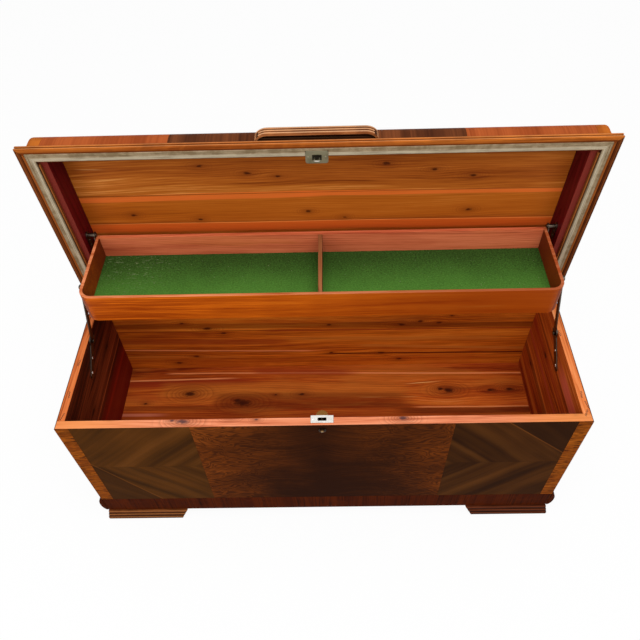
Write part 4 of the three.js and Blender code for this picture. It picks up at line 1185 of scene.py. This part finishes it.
class CHEST_OT_stage(bpy.types.Operator):
    """Pale floor, soft light and the camera"""

    bl_idname = "chest.stage"
    bl_label = "Stage"

    def execute(self, context):
        settings = context.scene.chest_stage
        half = settings.floor_size / 2
        mesh = bpy.data.meshes.new("floor")
        corners = [(-half, -half, 0), (half, -half, 0), (half, half, 0), (-half, half, 0)]
        mesh.from_pydata(corners, [], [(0, 1, 2, 3)])
        floor = bpy.data.objects.new("floor", mesh)
        context.scene.collection.objects.link(floor)
        floor.data.materials.append(self.floor_look())
        self.world(context.scene)
        self.lamps(context.scene, settings.lamp_watts)
        self.camera(context.scene)
        return {"FINISHED"}

    @staticmethod
    def seen(graph):
        """1 for rays from the camera, in mirrors and through glass."""
        camera, glossy, through = (
            graph.node("ShaderNodeLightPath", out=f"Is {kind} Ray")
            for kind in ("Camera", "Glossy", "Transmission")
        )
        return camera.math("MAXIMUM", glossy).math("MAXIMUM", through)

    def floor_look(self):
        """White where it is lit, with the chest's shadow left a little."""
        sh = Shader("pale_floor")
        cloud = sh.noise(sh.point(), 2.0, 0.5, 0.0, 3.0)
        pale = sh.mix(cloud, tone("F0F0F0"), tone("EAEAEA"))
        matt = sh.node("ShaderNodeBsdfDiffuse", {}, {"Color": pale})
        white = sh.node("ShaderNodeEmission", {}, {"Color": WHITE, "Strength": 1.0})
        share = self.seen(sh) * SHADOW_LEFT
        both = sh.node("ShaderNodeMixShader", {}, {0: share, 1: matt, 2: white})
        sh.node("ShaderNodeOutputMaterial", {}, (both,))
        return sh.material

    def world(self, scene):
        """White for the camera and in mirrors, and a softer light on the chest."""
        world = bpy.data.worlds.new("soft_room")
        world.use_nodes = True
        world.node_tree.nodes.clear()
        graph = Graph(world.node_tree)
        light, white = (
            graph.node("ShaderNodeBackground", {}, {"Color": WHITE, "Strength": strength})
            for strength in (ROOM_LIGHT, 1.0)
        )
        values = {0: self.seen(graph), 1: light, 2: white}
        graph.node("ShaderNodeOutputWorld", {}, (graph.node("ShaderNodeMixShader", {}, values),))
        scene.world = world

    def lamps(self, scene, watts):
        """Two wide lamps: each has its place, its width and its share of the power."""
        for name, place, size, share in LAMPS:
            lamp = bpy.data.lights.new(name, "AREA")
            lamp.energy, lamp.size = watts * share, size
            made = bpy.data.objects.new(name, lamp)
            turn = (LAMP_AIM - Vector(place)).to_track_quat("-Z", "Y").to_matrix().to_4x4()
            made.matrix_world = Matrix.Translation(place) @ turn
            scene.collection.objects.link(made)

    def camera(self, scene):
        """The photograph's camera: its focal length and middle in pixels, place and turns."""
        turn = Matrix.Identity(3)
        for degrees, axis in CAMERA_TURNS:
            turn = turn @ Matrix.Rotation(math.radians(degrees), 3, axis)
        rows = turn @ Matrix(((1, 0, 0), (0, 0, -1), (0, 1, 0)))
        camera = bpy.data.cameras.new("camera")
        camera.sensor_width, camera.sensor_fit = SENSOR, "HORIZONTAL"
        camera.lens = CAMERA_FOCAL / IMAGE_SIDE * SENSOR
        across, down = (at - IMAGE_SIDE / 2 for at in CAMERA_MIDDLE)
        camera.shift_x, camera.shift_y = -across / IMAGE_SIDE, down / IMAGE_SIDE
        made = bpy.data.objects.new("camera", camera)
        turned = Matrix((rows[0], -rows[1], -rows[2])).transposed().to_4x4()
        made.matrix_world = Matrix.Translation(CAMERA_PLACE) @ turned
        scene.collection.objects.link(made)
        scene.camera = made


class CHEST_PT_panel(bpy.types.Panel):
    """Lists the pieces of the chest"""

    bl_idname = "CHEST_PT_panel"
    bl_label = "Blanket chest"
    bl_space_type = "VIEW_3D"
    bl_region_type = "UI"
    bl_category = "Chest"

    def draw(self, context):
        for operator in OPERATORS:
            self.layout.operator(operator.bl_idname)
        for group in SETTINGS:
            settings = getattr(context.scene, group)
            for name in settings.bl_rna.properties.keys():
                if name not in ("rna_type", "name"):
                    self.layout.prop(settings, name)


OPERATORS = (
    CHEST_OT_carcass,
    CHEST_OT_veneers,
    CHEST_OT_base,
    CHEST_OT_lock,
    CHEST_OT_hinges,
    CHEST_OT_lid,
    CHEST_OT_lift,
    CHEST_OT_tray,
    CHEST_OT_stage,
)
SETTINGS = {
    "chest_wood": ChestWoodSettings,
    "chest_fitting": ChestFittingSettings,
    "chest_tray": ChestTraySettings,
    "chest_stage": ChestStageSettings,
}


def register():
    for group in (*SETTINGS.values(), *OPERATORS, CHEST_PT_panel):
        bpy.utils.register_class(group)
    for name, group in SETTINGS.items():
        setattr(bpy.types.Scene, name, bpy.props.PointerProperty(type=group))


def unregister():
    for name in SETTINGS:
        delattr(bpy.types.Scene, name)
    for group in (CHEST_PT_panel, *OPERATORS, *SETTINGS.values()):
        bpy.utils.unregister_class(group)


def main():
    register()
    for operator in OPERATORS:
        getattr(bpy.ops.chest, operator.bl_idname.split(".")[1])()
    view = bpy.context.scene.view_settings
    view.view_transform = "Standard"
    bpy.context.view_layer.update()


if __name__ == "__main__":
    main()
